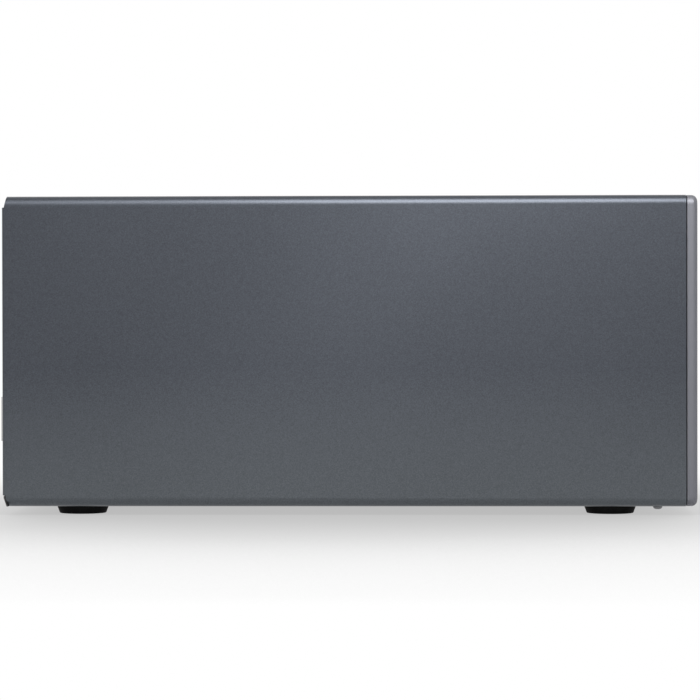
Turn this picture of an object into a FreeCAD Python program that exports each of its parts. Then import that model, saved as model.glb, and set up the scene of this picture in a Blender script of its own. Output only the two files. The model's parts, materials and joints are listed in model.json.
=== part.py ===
"""Desktop data tape drive: a sheet-metal enclosure with one half-height tape drive in its upper bay.

Frame: +Z up, the front face looks along -Y, and the origin is on the floor under the middle of the box.
Millimetres throughout. "Depth" is always measured backwards from the front face of the bezel.
"""
import FreeCAD
import Part
import math
import os

V = FreeCAD.Vector

# ---------------------------------------------------------------- driving sizes: enclosure
width = 172.0
height = 152.4
overall_depth = 336.0
foot_height = 4.0
sheet = 1.2
top_bend = 4.3              # outer radius of the cover's long bends
cover_front = 5.5           # depth of the cover's front edge
cover_back = 331.8          # depth of the rear flanges' outer face
rear_wall = 330.5           # depth of the chassis rear wall's outer face
bezel_thickness = 5.0
bezel_edge = 2.8            # rounding round the bezel's face
side_gap = 0.4              # between the cover and the chassis inside it
cover_flange = 14.7         # width of the cover's underside flanges
corner_rise = 4.2           # the lower rear corners are cut back by this slope over this rise
corner_slope = 1.4

front = -overall_depth / 2
half = width / 2
floor_under = foot_height   # height of the enclosure's underside

# ---------------------------------------------------------------- driving sizes: feet and screws
foot_top_radius = 12.7
foot_tip_radius = 11.6
foot_x = 66.0
foot_depths = (40.4, 295.6)
foot_recess = 5.2
foot_sides = 18
cover_screw_x = 77.5
cover_screw_depth = 18.5
cover_screw_radius = 2.3
cover_screw_head = 1.6

# ---------------------------------------------------------------- driving sizes: bays
bay_half_width = 74.4       # openings in the bezel for two half-height bays
bay_opening = 42.8
drive_bay_z = 96.8
blank_bay_z = 51.2
face_inset = 0.6            # depth of the faces that fill the bays
intake_pitch = 6.6
intake_slot = 3.2           # width of each slot of the intake grille
intake_z = (15.0, 42.0)
power_lamp_x = (78.3, 80.9)
power_lamp_z = (26.5, 30.5)

# ---------------------------------------------------------------- driving sizes: tape drive
drive_half = 72.0           # outside of the cast frame
drive_bottom = 97.6
drive_front = 5.6
drive_back = 210.4
drive_screw_depths = (52.0, 120.0)
drive_screw_z = 108.8
deck_under = 102.5
deck_top = 104.5
wall_inner = 70.0
lid_under = 137.9
lid_top = 138.9
slot_half = 54.2
lamp_x = (-32.0, -20.0, -8.0, 4.0)
display_x = (-62.0, -46.0)
display_z = (100.6, 109.4)
key_x = (45.7, 58.3)
key_z = (101.7, 108.3)
slot_bottom = 113.0
slot_top = 136.2
door_axis_depth = 4.0
door_axis_z = 137.0

tray_half = 55.3
tray_wall = 2.0
tray_bottom = 113.0
tray_top = 136.4
tray_front = 30.0
tray_back = 88.0
tray_drop = 3.4
tray_pin_depths = (40.0, 76.0)
tray_pin_z = 125.0

sled_inner = 56.0
sled_plate = 1.2
sled_bottom = 107.8
rack_pitch_x = 59.7
gear_module = 0.8
pinion_teeth = 10
pinion_depth = 60.0
pinion_x = rack_pitch_x + pinion_teeth / 2 * gear_module + 0.05

spindle_depth = 59.0
reel_x = 24.5
reel_depth = 160.0
reel_radius = 40.0
reel_hub = 22.0
motor_radius = 25.0
tape_bottom = 113.6
tape_top = 128.4
roller_radius = 5.0
roller_bore = 1.56
post_radius = 1.5
roller_swing = (15.0, 7.5)  # degrees either side of the line from the reel to the head
roller_reach = (68.0, 77.0)
head_x = -36.0
head_screw_offset = 3.8     # lead screw behind the head sled's middle
arm_reach = 89.2
groove_start = 45.0
arm_rest = 206.0            # degrees, in plan, of the threading arm at rest
arm_under = 131.2
arm_thickness = 1.6
sector_teeth = 50
threader_teeth = 10


# ---------------------------------------------------------------- driving sizes: rear parts
fan_x = 28.0
fan_z = 98.0
fan_size = 80.0
fan_depth = 25.0
fan_bore = 38.0
fan_hub = 17.0
fan_axle = 1.5
fan_screw_pitch = 71.5
fan_blades = 7
blade_pitch = 38.0
supply_x = (1.0, 82.4)
supply_z = (6.8, 47.3)
supply_length = 150.0
socket_face = rear_wall - sheet - 0.2   # depth of the supply's rear face, behind the chassis wall
inlet_x = 22.0
inlet_z = 27.0
rocker_x = 46.5
cage_x = (-60.0, -43.4)
cage_z = (34.4, 55.9)
board_z = 32.0
board_thickness = 1.6
bus_port_x = (-30.0, -14.0)


# ---------------------------------------------------------------- shape helpers
def back(depth):
    """The y of a plane this far behind the front face."""
    return front + depth


def block(x0, x1, d0, d1, z0, z1):
    """A box between two x, two depths and two heights."""
    return Part.makeBox(x1 - x0, d1 - d0, z1 - z0, V(x0, back(d0), z0))


def post(x, depth, z0, z1, radius):
    """An upright cylinder."""
    return Part.makeCylinder(radius, z1 - z0, V(x, back(depth), z0), V(0, 0, 1))


def rounded_wire(corners, place):
    """A closed wire through corners (a, b, radius), with an arc at each corner that has a radius."""
    count = len(corners)
    starts, ends, middles = [], [], []
    for i, (a, b, r) in enumerate(corners):
        here = V(a, b, 0)
        before = V(*corners[i - 1][:2], 0)
        after = V(*corners[(i + 1) % count][:2], 0)
        if r <= 0:
            starts.append(here)
            ends.append(here)
            middles.append(None)
            continue
        to_before = (before - here).normalize()
        to_after = (after - here).normalize()
        half_angle = math.acos(max(-1.0, min(1.0, to_before.dot(to_after)))) / 2
        reach = r / math.tan(half_angle)
        inward = (to_before + to_after).normalize()
        centre = here + inward * (r / math.sin(half_angle))
        starts.append(here + to_before * reach)
        ends.append(here + to_after * reach)
        middles.append(centre - inward * r)
    edges = []
    for i in range(count):
        if middles[i] is not None:
            edges.append(Part.Arc(place(starts[i]), place(middles[i]), place(ends[i])).toShape())
        here, there = place(ends[i]), place(starts[(i + 1) % count])
        if (there - here).Length > 1e-6:
            edges.append(Part.LineSegment(here, there).toShape())
    return Part.Wire(edges)


def section(corners, d0, d1):
    """Extrudes an outline of (x, z, radius) from one depth to another."""
    wire = rounded_wire(corners, lambda p: V(p.x, back(d0), p.y))
    return Part.Face(wire).extrude(V(0, d1 - d0, 0))


def side_profile(corners, x0, x1):
    """Extrudes an outline of (depth, z, radius) from one x to another."""
    wire = rounded_wire(corners, lambda p: V(x0, back(p.x), p.y))
    return Part.Face(wire).extrude(V(x1 - x0, 0, 0))


def plan(corners, z0, z1):
    """Extrudes an outline of (x, depth, radius) from one height to another."""
    wire = rounded_wire(corners, lambda p: V(p.x, back(p.y), z0))
    return Part.Face(wire).extrude(V(0, 0, z1 - z0))


def rectangle(a0, a1, b0, b1, r=0.0):
    """The four corners of a rectangle, each with the same radius."""
    return [(a0, b0, r), (a1, b0, r), (a1, b1, r), (a0, b1, r)]


def clipped(a0, a1, b0, b1, clip):
    """A rectangle with its corners cut off at 45 degrees."""
    return [(a0 + clip, b0, 0), (a1 - clip, b0, 0), (a1, b0 + clip, 0), (a1, b1 - clip, 0),
            (a1 - clip, b1, 0), (a0 + clip, b1, 0), (a0, b1 - clip, 0), (a0, b0 + clip, 0)]


def fuse(shapes):
    """One solid from shapes that touch or overlap."""
    whole = shapes[0]
    if len(shapes) > 1:
        whole = whole.multiFuse(shapes[1:])
    return whole.removeSplitter()


def cut(shape, tools):
    """The shape with every tool taken out of it."""
    return shape.cut(Part.makeCompound(list(tools))).removeSplitter()


def both_sides(shape):
    """The shape and its mirror image in the middle plane."""
    return [shape, shape.mirror(V(0, 0, 0), V(1, 0, 0))]


def turned(shape, x, depth, degrees):
    """The shape turned about an upright axis."""
    moved = shape.copy()
    moved.rotate(V(x, back(depth), 0), V(0, 0, 1), degrees)
    return moved


def around_reel(reach, degrees):
    """The x and depth of a point at this reach and bearing from the take-up reel's axis."""
    angle = math.radians(degrees)
    return reel_x + reach * math.cos(angle), reel_depth + reach * math.sin(angle)


def bar(sides, radius, length, at, way):
    """A bar with flat sides from a point along way, this far from its axis to its corners."""
    side = V(1, 0, 0) if abs(way.x) < 0.5 else V(0, 1, 0)
    step = 360.0 / sides
    corners = [at + FreeCAD.Rotation(way, step * (i + 0.5)).multVec(side * radius) for i in range(sides)]
    return Part.Face(Part.makePolygon(corners + corners[:1])).extrude(way * length)


def hexagon(radius, length, at, way):
    """A six-sided bar from a point along way."""
    return bar(6, radius, length, at, way)


def pin(flats, radius, length, at, way):
    """A round pin from a point along way, with narrow flats between its bearing lands."""
    land = math.radians(4.2)
    flat_depth = radius * math.cos(math.pi / flats - land)
    return Part.makeCylinder(radius, length, at, way).common(
        bar(flats, flat_depth / math.cos(math.pi / flats), length, at, way))


def upright_pin(x, depth, z0, z1, radius, flats=6):
    """A round pin with flats that stands upright."""
    return pin(flats, radius, z1 - z0, V(x, back(depth), z0), V(0, 0, 1))


def cross_pin(x0, x1, depth, z, radius):
    """A round pin with flats that lies from side to side."""
    return pin(6, radius, x1 - x0, V(x0, back(depth), z), V(1, 0, 0))


def stud(x, depth, z0, z1, radius, sides=10):
    """An upright pin with a few flat sides, for small round pieces that repeat."""
    return bar(sides, radius, z1 - z0, V(x, back(depth), z0), V(0, 0, 1))


def socket(x, depth, z0, z1, radius, sides=10):
    """The hole for a stud: its flats are this far from the axis, so that a pin of this radius turns in it."""
    return stud(x, depth, z0, z1, radius / math.cos(math.pi / sides), sides)


def cross_stud(x0, x1, depth, z, radius, sides=10):
    """A small pin with flat sides that lies from side to side."""
    return bar(sides, radius, x1 - x0, V(x0, back(depth), z), V(1, 0, 0))


def screw(head, head_height, shank_radius, shank_length, at, way):
    """A screw whose head, a solid with its underside at the point, has a shank along way."""
    return fuse([head, hexagon(shank_radius, shank_length, at - way * (head_height / 2), way)])


def pan_screw(head_radius, head_height, shank_radius, shank_length, at, way):
    """A round-headed screw with its head's underside at a point, pointing along way."""
    head = Part.makeCylinder(head_radius, head_height, at, way * -1)
    return screw(head, head_height, shank_radius, shank_length + head_height / 2, at, way)


def hex_screw(head_radius, head_height, shank_radius, shank_length, at, way):
    """A six-sided chassis screw with its head's underside at a point, pointing along way."""
    head = hexagon(head_radius, head_height, at, way * -1)
    return screw(head, head_height, shank_radius, shank_length + head_height / 2, at, way)


def screw_holes(x, depths, z, length, radius):
    """Upright screw holes at both sides, at each depth."""
    return [hexagon(radius, length, V(s * x, back(d), z), V(0, 0, 1)) for s in (-1, 1) for d in depths]


# ---------------------------------------------------------------- enclosure
def outer_cover():
    """The wrapped cover: top, sides and narrow underside flanges, with return flanges round its back."""
    mouth = half - cover_flange
    inner_bend = top_bend - sheet
    low, high = floor_under, height
    bend_back = 2.4
    wrap_back = cover_back - 1.0
    wrap = section(
        [(-mouth, low, 0), (-half, low, top_bend), (-half, high, top_bend),
         (half, high, top_bend), (half, low, top_bend), (mouth, low, 0),
         (mouth, low + sheet, 0), (half - sheet, low + sheet, inner_bend),
         (half - sheet, high - sheet, inner_bend), (-half + sheet, high - sheet, inner_bend),
         (-half + sheet, low + sheet, inner_bend), (-mouth, low + sheet, 0)],
        cover_front, wrap_back)
    corner = top_bend + 1.1
    side_return = plan(
        [(half - sheet, cover_back - 6.0, 0), (half, cover_back - 6.0, 0), (half, cover_back, 1.6),
         (half - 10.0, cover_back, 0), (half - 10.0, cover_back - sheet, 0),
         (half - sheet, cover_back - sheet, 0.4)],
        low + corner, high - corner)
    top_back = cover_back - sheet
    top_return = side_profile(
        [(top_back - 6.0, high - sheet, 0), (top_back - 6.0, high, 0), (top_back, high, bend_back),
         (top_back, high - 9.0, 0), (top_back - sheet, high - 9.0, 0),
         (top_back - sheet, high - sheet, bend_back - sheet)],
        -half + corner + 4.0, half - corner - 4.0)
    top_half = half - top_bend
    top_excess = block(-top_half, top_half, top_back - bend_back, cover_back, high - 2 * sheet, high + 1.0)
    body = fuse([cut(wrap, [top_excess]), top_return] + both_sides(side_return))
    upper_corner = side_profile(
        [(wrap_back, high - corner, 0), (cover_back + 1.0, high - corner, 0),
         (cover_back + 1.0, high + 1.0, 0), (cover_back - bend_back, high + 1.0, 0)],
        top_half, half + 1.0)
    corner_back = rear_wall - 0.25
    lower_corner = side_profile(
        [(corner_back, low + corner, 0), (corner_back, low + corner_rise, 1.6),
         (corner_back - corner_slope, low, 0), (corner_back - corner_slope, low - 1.0, 0),
         (cover_back + 1.0, low - 1.0, 0), (cover_back + 1.0, low + corner, 0)],
        -half - 1.0, half + 1.0)
    holes = screw_holes(cover_screw_x, (cover_screw_depth,), low - 1.0, 4.0, 1.7)
    return cut(body, both_sides(upper_corner) + [lower_corner] + holes)


def fan_screw_holes(depth, length):
    """Four holes at the corners of the fan, from one depth backwards."""
    offset = fan_screw_pitch / 2
    return [hexagon(2.1, length, V(fan_x + i * offset, back(depth), fan_z + j * offset), V(0, 1, 0))
            for i in (-1, 1) for j in (-1, 1)]


def chassis():
    """The inner tray: a floor joggled over the cover's flanges, low side walls and the rear wall."""
    low = floor_under
    step = half - cover_flange - 0.3
    lap = low + sheet + 0.1
    edge = half - sheet - side_gap
    bend = 2.9
    wall_low = 26.0
    floor_back = cover_back - 7.5
    tray = section(
        [(-edge, wall_low, 0), (-edge, lap, bend), (-step, lap, 0), (-step, low, 0), (step, low, 0),
         (step, lap, 0), (edge, lap, bend), (edge, wall_low, 0), (edge - sheet, wall_low, 0),
         (edge - sheet, lap + sheet, bend - sheet), (step - sheet, lap + sheet, 0),
         (step - sheet, low + sheet, 0), (-step + sheet, low + sheet, 0), (-step + sheet, lap + sheet, 0),
         (-edge + sheet, lap + sheet, bend - sheet), (-edge + sheet, wall_low, 0)],
        6.0, floor_back)
    wall_bend = 3.6
    wall_edge = half - sheet - 0.2
    wall_top = height - 9.5
    back_sheet = side_profile(
        [(floor_back - 1.0, low, 0), (rear_wall, low, wall_bend), (rear_wall, wall_top, 0),
         (rear_wall - sheet, wall_top, 0), (rear_wall - sheet, low + sheet, wall_bend - sheet),
         (floor_back - 1.0, low + sheet, 0)],
        -step, step)
    wall_sides = block(step - 1.0, wall_edge, rear_wall - sheet, rear_wall, low + wall_bend + 0.4, wall_top)
    toe_back = rear_wall + 0.7
    toe = side_profile(
        [(rear_wall, low + 5.2, 0), (rear_wall, low + corner_rise, 0), (rear_wall - corner_slope, low + 0.1, 0),
         (toe_back - corner_slope, low + 0.1, 0), (toe_back, low + corner_rise, 1.6), (toe_back, low + 5.2, 0)],
        step + 0.3, half - 0.1)
    body = fuse([tray, back_sheet] + both_sides(wall_sides) + both_sides(toe))
    through = (rear_wall - 3, rear_wall + 1)
    octagon_clip = fan_bore * (1 - math.tan(math.radians(22.5)))
    openings = [section(clipped(fan_x - fan_bore, fan_x + fan_bore, fan_z - fan_bore, fan_z + fan_bore,
                                octagon_clip), *through)]
    openings += [block(4.0, 80.0, *through, 9.0, 45.0)]
    openings += [block(cage_x[0] - 0.4, cage_x[1] + 0.4, *through, cage_z[0] - 0.4, cage_z[1] + 0.4)]
    openings += [block(x - 5.2, x + 5.2, *through, 34.6, 39.4) for x in bus_port_x]
    openings += [block(-72.0, -20.0, *through, 66.0 + 8.0 * row, 70.0 + 8.0 * row) for row in range(8)]
    openings += fan_screw_holes(rear_wall - 3, 5.0)
    openings += screw_holes(foot_x, foot_depths, low - 1.0, 5.0, 1.7)
    openings += screw_holes(cover_screw_x, (cover_screw_depth,), low, 5.0, 1.7)
    return cut(body, openings)


def front_bezel():
    """The thick front plate, rounded all round, with two bay openings, an intake grille and rear lugs."""
    inset = 0.3
    plate = section(rectangle(-half + inset, half - inset, floor_under + 0.1, height - 0.1, top_bend + 0.3),
                    0.0, bezel_thickness)
    rim = [e for e in plate.Edges if e.BoundBox.YMax < back(0.01)]
    plate = plate.makeFillet(bezel_edge, rim)
    lugs = both_sides(block(71.0, 81.0, bezel_thickness - 1, 26.0, floor_under + 2 * sheet + 0.2, 13.0))
    tabs = both_sides(block(56.0, 70.0, bezel_thickness - 1, 14.0, 142.2, 149.0))
    body = fuse([plate] + lugs + tabs)
    bays = [block(-bay_half_width, bay_half_width, -1, 8, z, z + bay_opening)
            for z in (drive_bay_z, blank_bay_z)]
    slots = [block(intake_pitch * i - intake_slot / 2, intake_pitch * i + intake_slot / 2, -1, 8, *intake_z)
             for i in range(-10, 11)]
    lens_hole = block(*power_lamp_x, -1, 8, *power_lamp_z)
    screw_seats = screw_holes(cover_screw_x, (cover_screw_depth,), floor_under, 9.2, 1.3)
    return cut(body, bays + slots + [lens_hole] + screw_seats)


def bay_blank():
    """The plastic filler in the empty lower bay: a face with a finger-wide recess and two sprung legs."""
    low, high = blank_bay_z + 0.4, blank_bay_z + bay_opening - 0.4
    edge = bay_half_width - 0.4
    face = section(rectangle(-edge, edge, low, high), face_inset, face_inset + 3.0)
    rim = [e for e in face.Edges if e.BoundBox.YMax < back(face_inset + 0.01)]
    face = face.makeChamfer(0.6, rim)
    recess = section(rectangle(-edge + 7, edge - 7, low + 6, high - 6), -1, face_inset + 0.9)
    leg = plan([(edge - 2.0, 3.0, 0), (edge - 0.4, 3.0, 0), (edge - 0.4, 24.0, 0), (edge - 1.6, 30.0, 0),
                (edge - 3.2, 30.0, 0), (edge - 2.0, 24.0, 0)], low + 12, high - 12)
    return fuse([cut(face, [recess])] + both_sides(leg))


def drive_cage():
    """The bracket that carries both bays: side plates with windows, a shelf and feet on the chassis floor."""
    plate_in, plate_out = 74.7, 75.9
    base = floor_under + 2 * sheet + 0.2
    shelf = blank_bay_z - 1.8
    foot_end, top = 81.0, 141.6
    frame = section(
        [(plate_in, shelf, 0), (plate_in, base, 0), (foot_end, base, 0), (foot_end, base + sheet, 0),
         (plate_out, base + sheet, 0), (plate_out, top, 0), (plate_in, top, 0), (plate_in, shelf + sheet, 0),
         (-plate_in, shelf + sheet, 0), (-plate_in, top, 0), (-plate_out, top, 0),
         (-plate_out, base + sheet, 0), (-foot_end, base + sheet, 0), (-foot_end, base, 0),
         (-plate_in, base, 0), (-plate_in, shelf, 0)],
        28.0, 176.0)
    windows = [block(-90, 90, d, d + 26.0, z, z + 20.0) for d in (44.0, 88.0, 132.0) for z in (22.0, 64.0)]
    slots = [block(-90, 90, d - 4.0, d + 4.0, 107.0, 110.6) for d in drive_screw_depths]
    return cut(frame, windows + slots)


def rubber_feet():
    """Four tapered rubber feet, each with a recess for its screw."""
    feet = []
    for s in (-1, 1):
        for d in foot_depths:
            at = V(s * foot_x, back(d), 0)
            rings = []
            for radius, z in ((foot_tip_radius, 0.0), (foot_top_radius, foot_height)):
                ring = [V(s * foot_x, back(d), z) + V(radius * math.cos(a), radius * math.sin(a), 0)
                        for a in (math.radians(360.0 * i / foot_sides) for i in range(foot_sides))]
                rings.append(Part.makePolygon(ring + ring[:1]))
            cone = Part.makeLoft(rings, True, True)
            recess = bar(12, foot_recess, 2.4, at, V(0, 0, 1))
            hole = hexagon(1.7, foot_height + 1, at, V(0, 0, 1))
            feet.append(cone.cut(recess.fuse(hole)))
    return Part.makeCompound(feet)


def foot_screws():
    """The four screws that hold the feet to the chassis floor."""
    screws = [hex_screw(3.4, 1.7, 1.4, 4.2, V(s * foot_x, back(d), 2.4), V(0, 0, 1))
              for s in (-1, 1) for d in foot_depths]
    return Part.makeCompound(screws)


def cover_screws():
    """The two round-headed screws under the front edge, through cover and chassis into the bezel's lugs."""
    seats = [V(s * cover_screw_x, back(cover_screw_depth), floor_under) for s in (-1, 1)]
    screws = [pan_screw(cover_screw_radius, cover_screw_head, 1.2, 8.0, seat, V(0, 0, 1)) for seat in seats]
    return Part.makeCompound(screws)


def drive_screws():
    """Four screws that hold the tape drive in its cage."""
    screws = [hex_screw(3.2, 1.6, 1.4, 3.6, V(s * 75.9, back(d), drive_screw_z), V(-s, 0, 0))
              for s in (-1, 1) for d in drive_screw_depths]
    return Part.makeCompound(screws)


def dust_filter():
    """The foam pad behind the intake slots."""
    return block(-69.4, 69.4, bezel_thickness + 0.1, bezel_thickness + 4.1, 13.4, 43.6)


# ---------------------------------------------------------------- rear: fan, supply, ports
def fan_frame():
    """The square housing of the exhaust fan, with its ducted bore, four struts and motor cup."""
    d0, d1 = rear_wall - sheet - fan_depth - 0.1, rear_wall - sheet - 0.1
    edge = fan_size / 2
    corner = 5.0
    shell = section(clipped(fan_x - edge, fan_x + edge, fan_z - edge, fan_z + edge, corner), d0, d1)
    rearwards = V(0, 1, 0)
    bore = bar(40, fan_bore, fan_depth + 2, V(fan_x, back(d0 - 1), fan_z), rearwards)
    shell = cut(shell, [bore] + fan_screw_holes(d1 - 9.0, 10.0))
    cup = bar(20, fan_hub, 4.0, V(fan_x, back(d0), fan_z), rearwards)
    struts = [block(fan_x - 2.0, fan_x + 2.0, d0, d0 + 3.0, fan_z - fan_bore - 0.5, fan_z + fan_bore + 0.5),
              block(fan_x - fan_bore - 0.5, fan_x + fan_bore + 0.5, d0, d0 + 3.0, fan_z - 2.0, fan_z + 2.0)]
    axle_hole = bar(12, (fan_axle + 0.05) / math.cos(math.pi / 12), 4.0, V(fan_x, back(d0 + 1.0), fan_z),
                    rearwards)
    return cut(fuse([shell, cup] + struts), [axle_hole])


def fan_rotor():
    """The fan's hub, axle and pitched, swept blades."""
    d0 = rear_wall - sheet - fan_depth + 4.7
    d1 = rear_wall - sheet - 1.6
    rearwards = V(0, 1, 0)
    hub = bar(24, fan_hub, d1 - d0, V(fan_x, back(d0), fan_z), rearwards)
    axle = pin(6, fan_axle, 3.6, V(fan_x, back(d0 - 3.6), fan_z), rearwards)
    middle = V(fan_x, back((d0 + d1) / 2), fan_z)
    tip = fan_bore - 4.0
    blades = []
    for i in range(fan_blades):
        outline = [V(fan_hub - 2.5, -7.0, 0), V(tip, -12.0, 0), V(tip + 2.0, -3.0, 0), V(tip, 9.0, 0),
                   V(fan_hub - 2.5, 7.0, 0)]
        blade = Part.Face(Part.makePolygon(outline + outline[:1])).extrude(V(0, 0, 1.2))
        blade.rotate(V(0, 0, 0), V(1, 0, 0), 90.0 + blade_pitch)
        blade.translate(middle)
        blade.rotate(middle, rearwards, 360.0 * i / fan_blades)
        blades.append(blade)
    return fuse([hub, axle] + blades)


def fan_grille():
    """The stamped finger guard over the fan: rows of slots cut to a circle, with a rib down the middle."""
    d0, d1 = rear_wall + 0.02, rear_wall + 0.92
    edge = fan_size / 2 + 1.0
    plate = block(fan_x - edge, fan_x + edge, d0, d1, fan_z - edge, fan_z + edge)
    slots = []
    rows = 11
    pitch = 6.4
    for i in range(rows):
        rise = (i - (rows - 1) / 2) * pitch
        reach = math.sqrt((fan_bore - 0.8) ** 2 - (abs(rise) + 2.0) ** 2)
        for s in (-1, 1):
            near, far = sorted((s * 1.6, s * reach))
            slots.append(block(fan_x + near, fan_x + far, d0 - 1, d1 + 1,
                               fan_z + rise - 2.0, fan_z + rise + 2.0))
    return cut(plate, slots + fan_screw_holes(d0 - 1, 4.0))


def fan_screws():
    """Four screws through the grille and the rear wall into the fan's corners."""
    offset = fan_screw_pitch / 2
    at = back(rear_wall + 0.95)
    screws = [hex_screw(3.9, 1.9, 1.9, 10.0, V(fan_x + i * offset, at, fan_z + j * offset), V(0, -1, 0))
              for i in (-1, 1) for j in (-1, 1)]
    return Part.makeCompound(screws)


def power_supply():
    """The enclosed mains supply: a thin steel case with vents, open where the inlet and switch go in."""
    d1 = socket_face
    d0 = d1 - supply_length
    wall = 1.0
    shell = block(*supply_x, d0, d1, *supply_z)
    room = block(supply_x[0] + wall, supply_x[1] - wall, d0 + wall, d1 - wall,
                 supply_z[0] + wall, supply_z[1] - wall)
    inlet_hole = block(inlet_x - 13.7, inlet_x + 13.7, d1 - 3, d1 + 1, inlet_z - 10.0, inlet_z + 10.0)
    rocker_hole = block(rocker_x - 6.6, rocker_x + 6.6, d1 - 3, d1 + 1, inlet_z - 9.7, inlet_z + 9.7)
    rear_vents = [block(59.0 + 5.0 * i, 61.6 + 5.0 * i, d1 - 3, d1 + 1, 13.0, 41.0) for i in range(4)]
    front_vents = [block(10.0 + 8.0 * i, 14.0 + 8.0 * i, d0 - 1, d0 + 3, 12.0, 42.0) for i in range(8)]
    return cut(shell, [room, inlet_hole, rocker_hole] + rear_vents + front_vents)


def supply_internals():
    """What fills the supply: its board, transformer, choke, capacitors and two finned heat spreaders."""
    d0 = rear_wall - sheet - supply_length
    floor = supply_z[0] + 4.0
    board = block(5.0, 78.0, d0 + 5.0, d0 + 122.0, floor, floor + 1.6)
    top = floor + 1.6
    pieces = [block(30.0, 58.0, d0 + 50.0, d0 + 80.0, top, top + 26.0),
              block(12.0, 24.0, d0 + 20.0, d0 + 90.0, top, top + 24.0),
              block(64.0, 72.0, d0 + 20.0, d0 + 90.0, top, top + 24.0),
              block(32.0, 52.0, d0 + 12.0, d0 + 34.0, top, top + 16.0)]
    pieces += [stud(x, d0 + 104.0, top, top + 27.0, 9.0, 12) for x in (32.0, 54.0)]
    return fuse([board] + pieces)


def mains_inlet():
    """The three-pin appliance inlet with its chamfered socket."""
    flange = section(rectangle(inlet_x - 15.2, inlet_x + 15.2, inlet_z - 11.8, inlet_z + 11.8, 2.0),
                     socket_face, socket_face + 2.0)
    body = block(inlet_x - 13.5, inlet_x + 13.5, socket_face - 18.5, socket_face + 0.1,
                 inlet_z - 9.8, inlet_z + 9.8)
    chamfer = 4.5
    socket = section(
        [(inlet_x - 12.1, inlet_z - 8.1, 0), (inlet_x + 12.1, inlet_z - 8.1, 0),
         (inlet_x + 12.1, inlet_z + 8.1 - chamfer, 0), (inlet_x + 12.1 - chamfer, inlet_z + 8.1, 0),
         (inlet_x - 12.1 + chamfer, inlet_z + 8.1, 0), (inlet_x - 12.1, inlet_z + 8.1 - chamfer, 0)],
        socket_face - 16.5, socket_face + 4)
    return cut(fuse([flange, body]), [socket])


def inlet_pins():
    """The live, earth and neutral blades in the inlet."""
    blades = [block(inlet_x + dx - 1.0, inlet_x + dx + 1.0, socket_face - 16.5, socket_face - 2.0,
                    inlet_z + dz - 2.0, inlet_z + dz + 2.0)
              for dx, dz in ((-7.0, -2.0), (0.0, 2.0), (7.0, -2.0))]
    return Part.makeCompound(blades)


def switch_frame():
    """The snap-in frame round the power rocker."""
    pieces = []
    for half_x, half_z, d0, d1 in ((7.6, 10.8, 0.0, 1.8), (6.4, 9.5, -11.0, 0.1), (5.2, 8.3, -8.0, 3.0)):
        pieces.append(block(rocker_x - half_x, rocker_x + half_x, socket_face + d0, socket_face + d1,
                            inlet_z - half_z, inlet_z + half_z))
    flange, body, well = pieces
    pin_hole = cross_stud(rocker_x - 5.9, rocker_x + 5.9, socket_face - 2.6, inlet_z, 1.12)
    return cut(fuse([flange, body]), [well, pin_hole])


def power_rocker():
    """The rocker, dished on both halves, on its cross pin. It rests with its lower half pressed in."""
    axis = socket_face - 2.6
    key = side_profile(
        [(axis - 4.2, inlet_z - 5.0, 0), (axis - 4.2, inlet_z + 5.0, 0), (axis + 4.6, inlet_z + 7.4, 0),
         (axis + 3.6, inlet_z, 0), (axis + 4.6, inlet_z - 7.4, 0)],
        rocker_x - 4.9, rocker_x + 4.9)
    key = key.fuse(cross_pin(rocker_x - 5.7, rocker_x + 5.7, axis, inlet_z, 1.0)).removeSplitter()
    key.rotate(V(0, back(axis), inlet_z), V(1, 0, 0), 7.0)
    return key


def board_tray():
    """The folded bridge that carries the interface board above the floor."""
    base = floor_under + sheet + 0.1
    top = board_z - 4.0
    inner, outer = -8.0, -69.0
    deck = section(
        [(inner, base, 0), (inner, top, 0), (outer, top, 0), (outer, base, 0), (outer + 7, base, 0),
         (outer + 7, base + sheet, 0), (outer + sheet, base + sheet, 0), (outer + sheet, top - sheet, 0),
         (inner - sheet, top - sheet, 0), (inner - sheet, base + sheet, 0), (inner - 7, base + sheet, 0),
         (inner - 7, base, 0)],
        214.0, 322.0)
    pillars = [hexagon(3.0, 4.5, V(x, back(d), top - 0.5), V(0, 0, 1))
               for x in (-64.0, -13.0) for d in (220.0, 308.0)]
    window = block(-58.0, -20.0, 232.0, 290.0, top - 3, top + 1)
    foot_depth = foot_depths[1]
    screw_way = block(-foot_x - 4.0, -foot_x + 4.0, foot_depth - 2.0, foot_depth + 2.0, base - 1, base + 2)
    return cut(fuse([deck] + pillars), [window, screw_way])


def interface_board():
    """The circuit board that joins the drive to the rear ports."""
    return block(-68.0, -9.0, 216.0, rear_wall - sheet - 3.0, board_z + 0.02, board_z + board_thickness)


def port_cage():
    """The stacked cage for two data cables, standing out of the rear wall."""
    wall = 0.8
    shell = block(cage_x[0], cage_x[1], 300.0, overall_depth, *cage_z)
    middle = sum(cage_z) / 2
    inside = (cage_x[0] + wall, cage_x[1] - wall, 302.0, overall_depth + 1)
    lower = block(*inside, cage_z[0] + wall, middle - 0.5)
    upper = block(*inside, middle + 0.5, cage_z[1] - wall)
    return cut(shell, [lower, upper])


def port_tongues():
    """The contact tongue inside each of the stacked data ports."""
    middle = sum(cage_z) / 2
    tongues = [block(cage_x[0] + 3.0, cage_x[1] - 3.0, 302.0, 326.0, z - 0.8, z + 0.8)
               for z in ((cage_z[0] + middle) / 2 - 2.4, (middle + cage_z[1]) / 2 - 2.4)]
    return Part.makeCompound(tongues)


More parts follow.
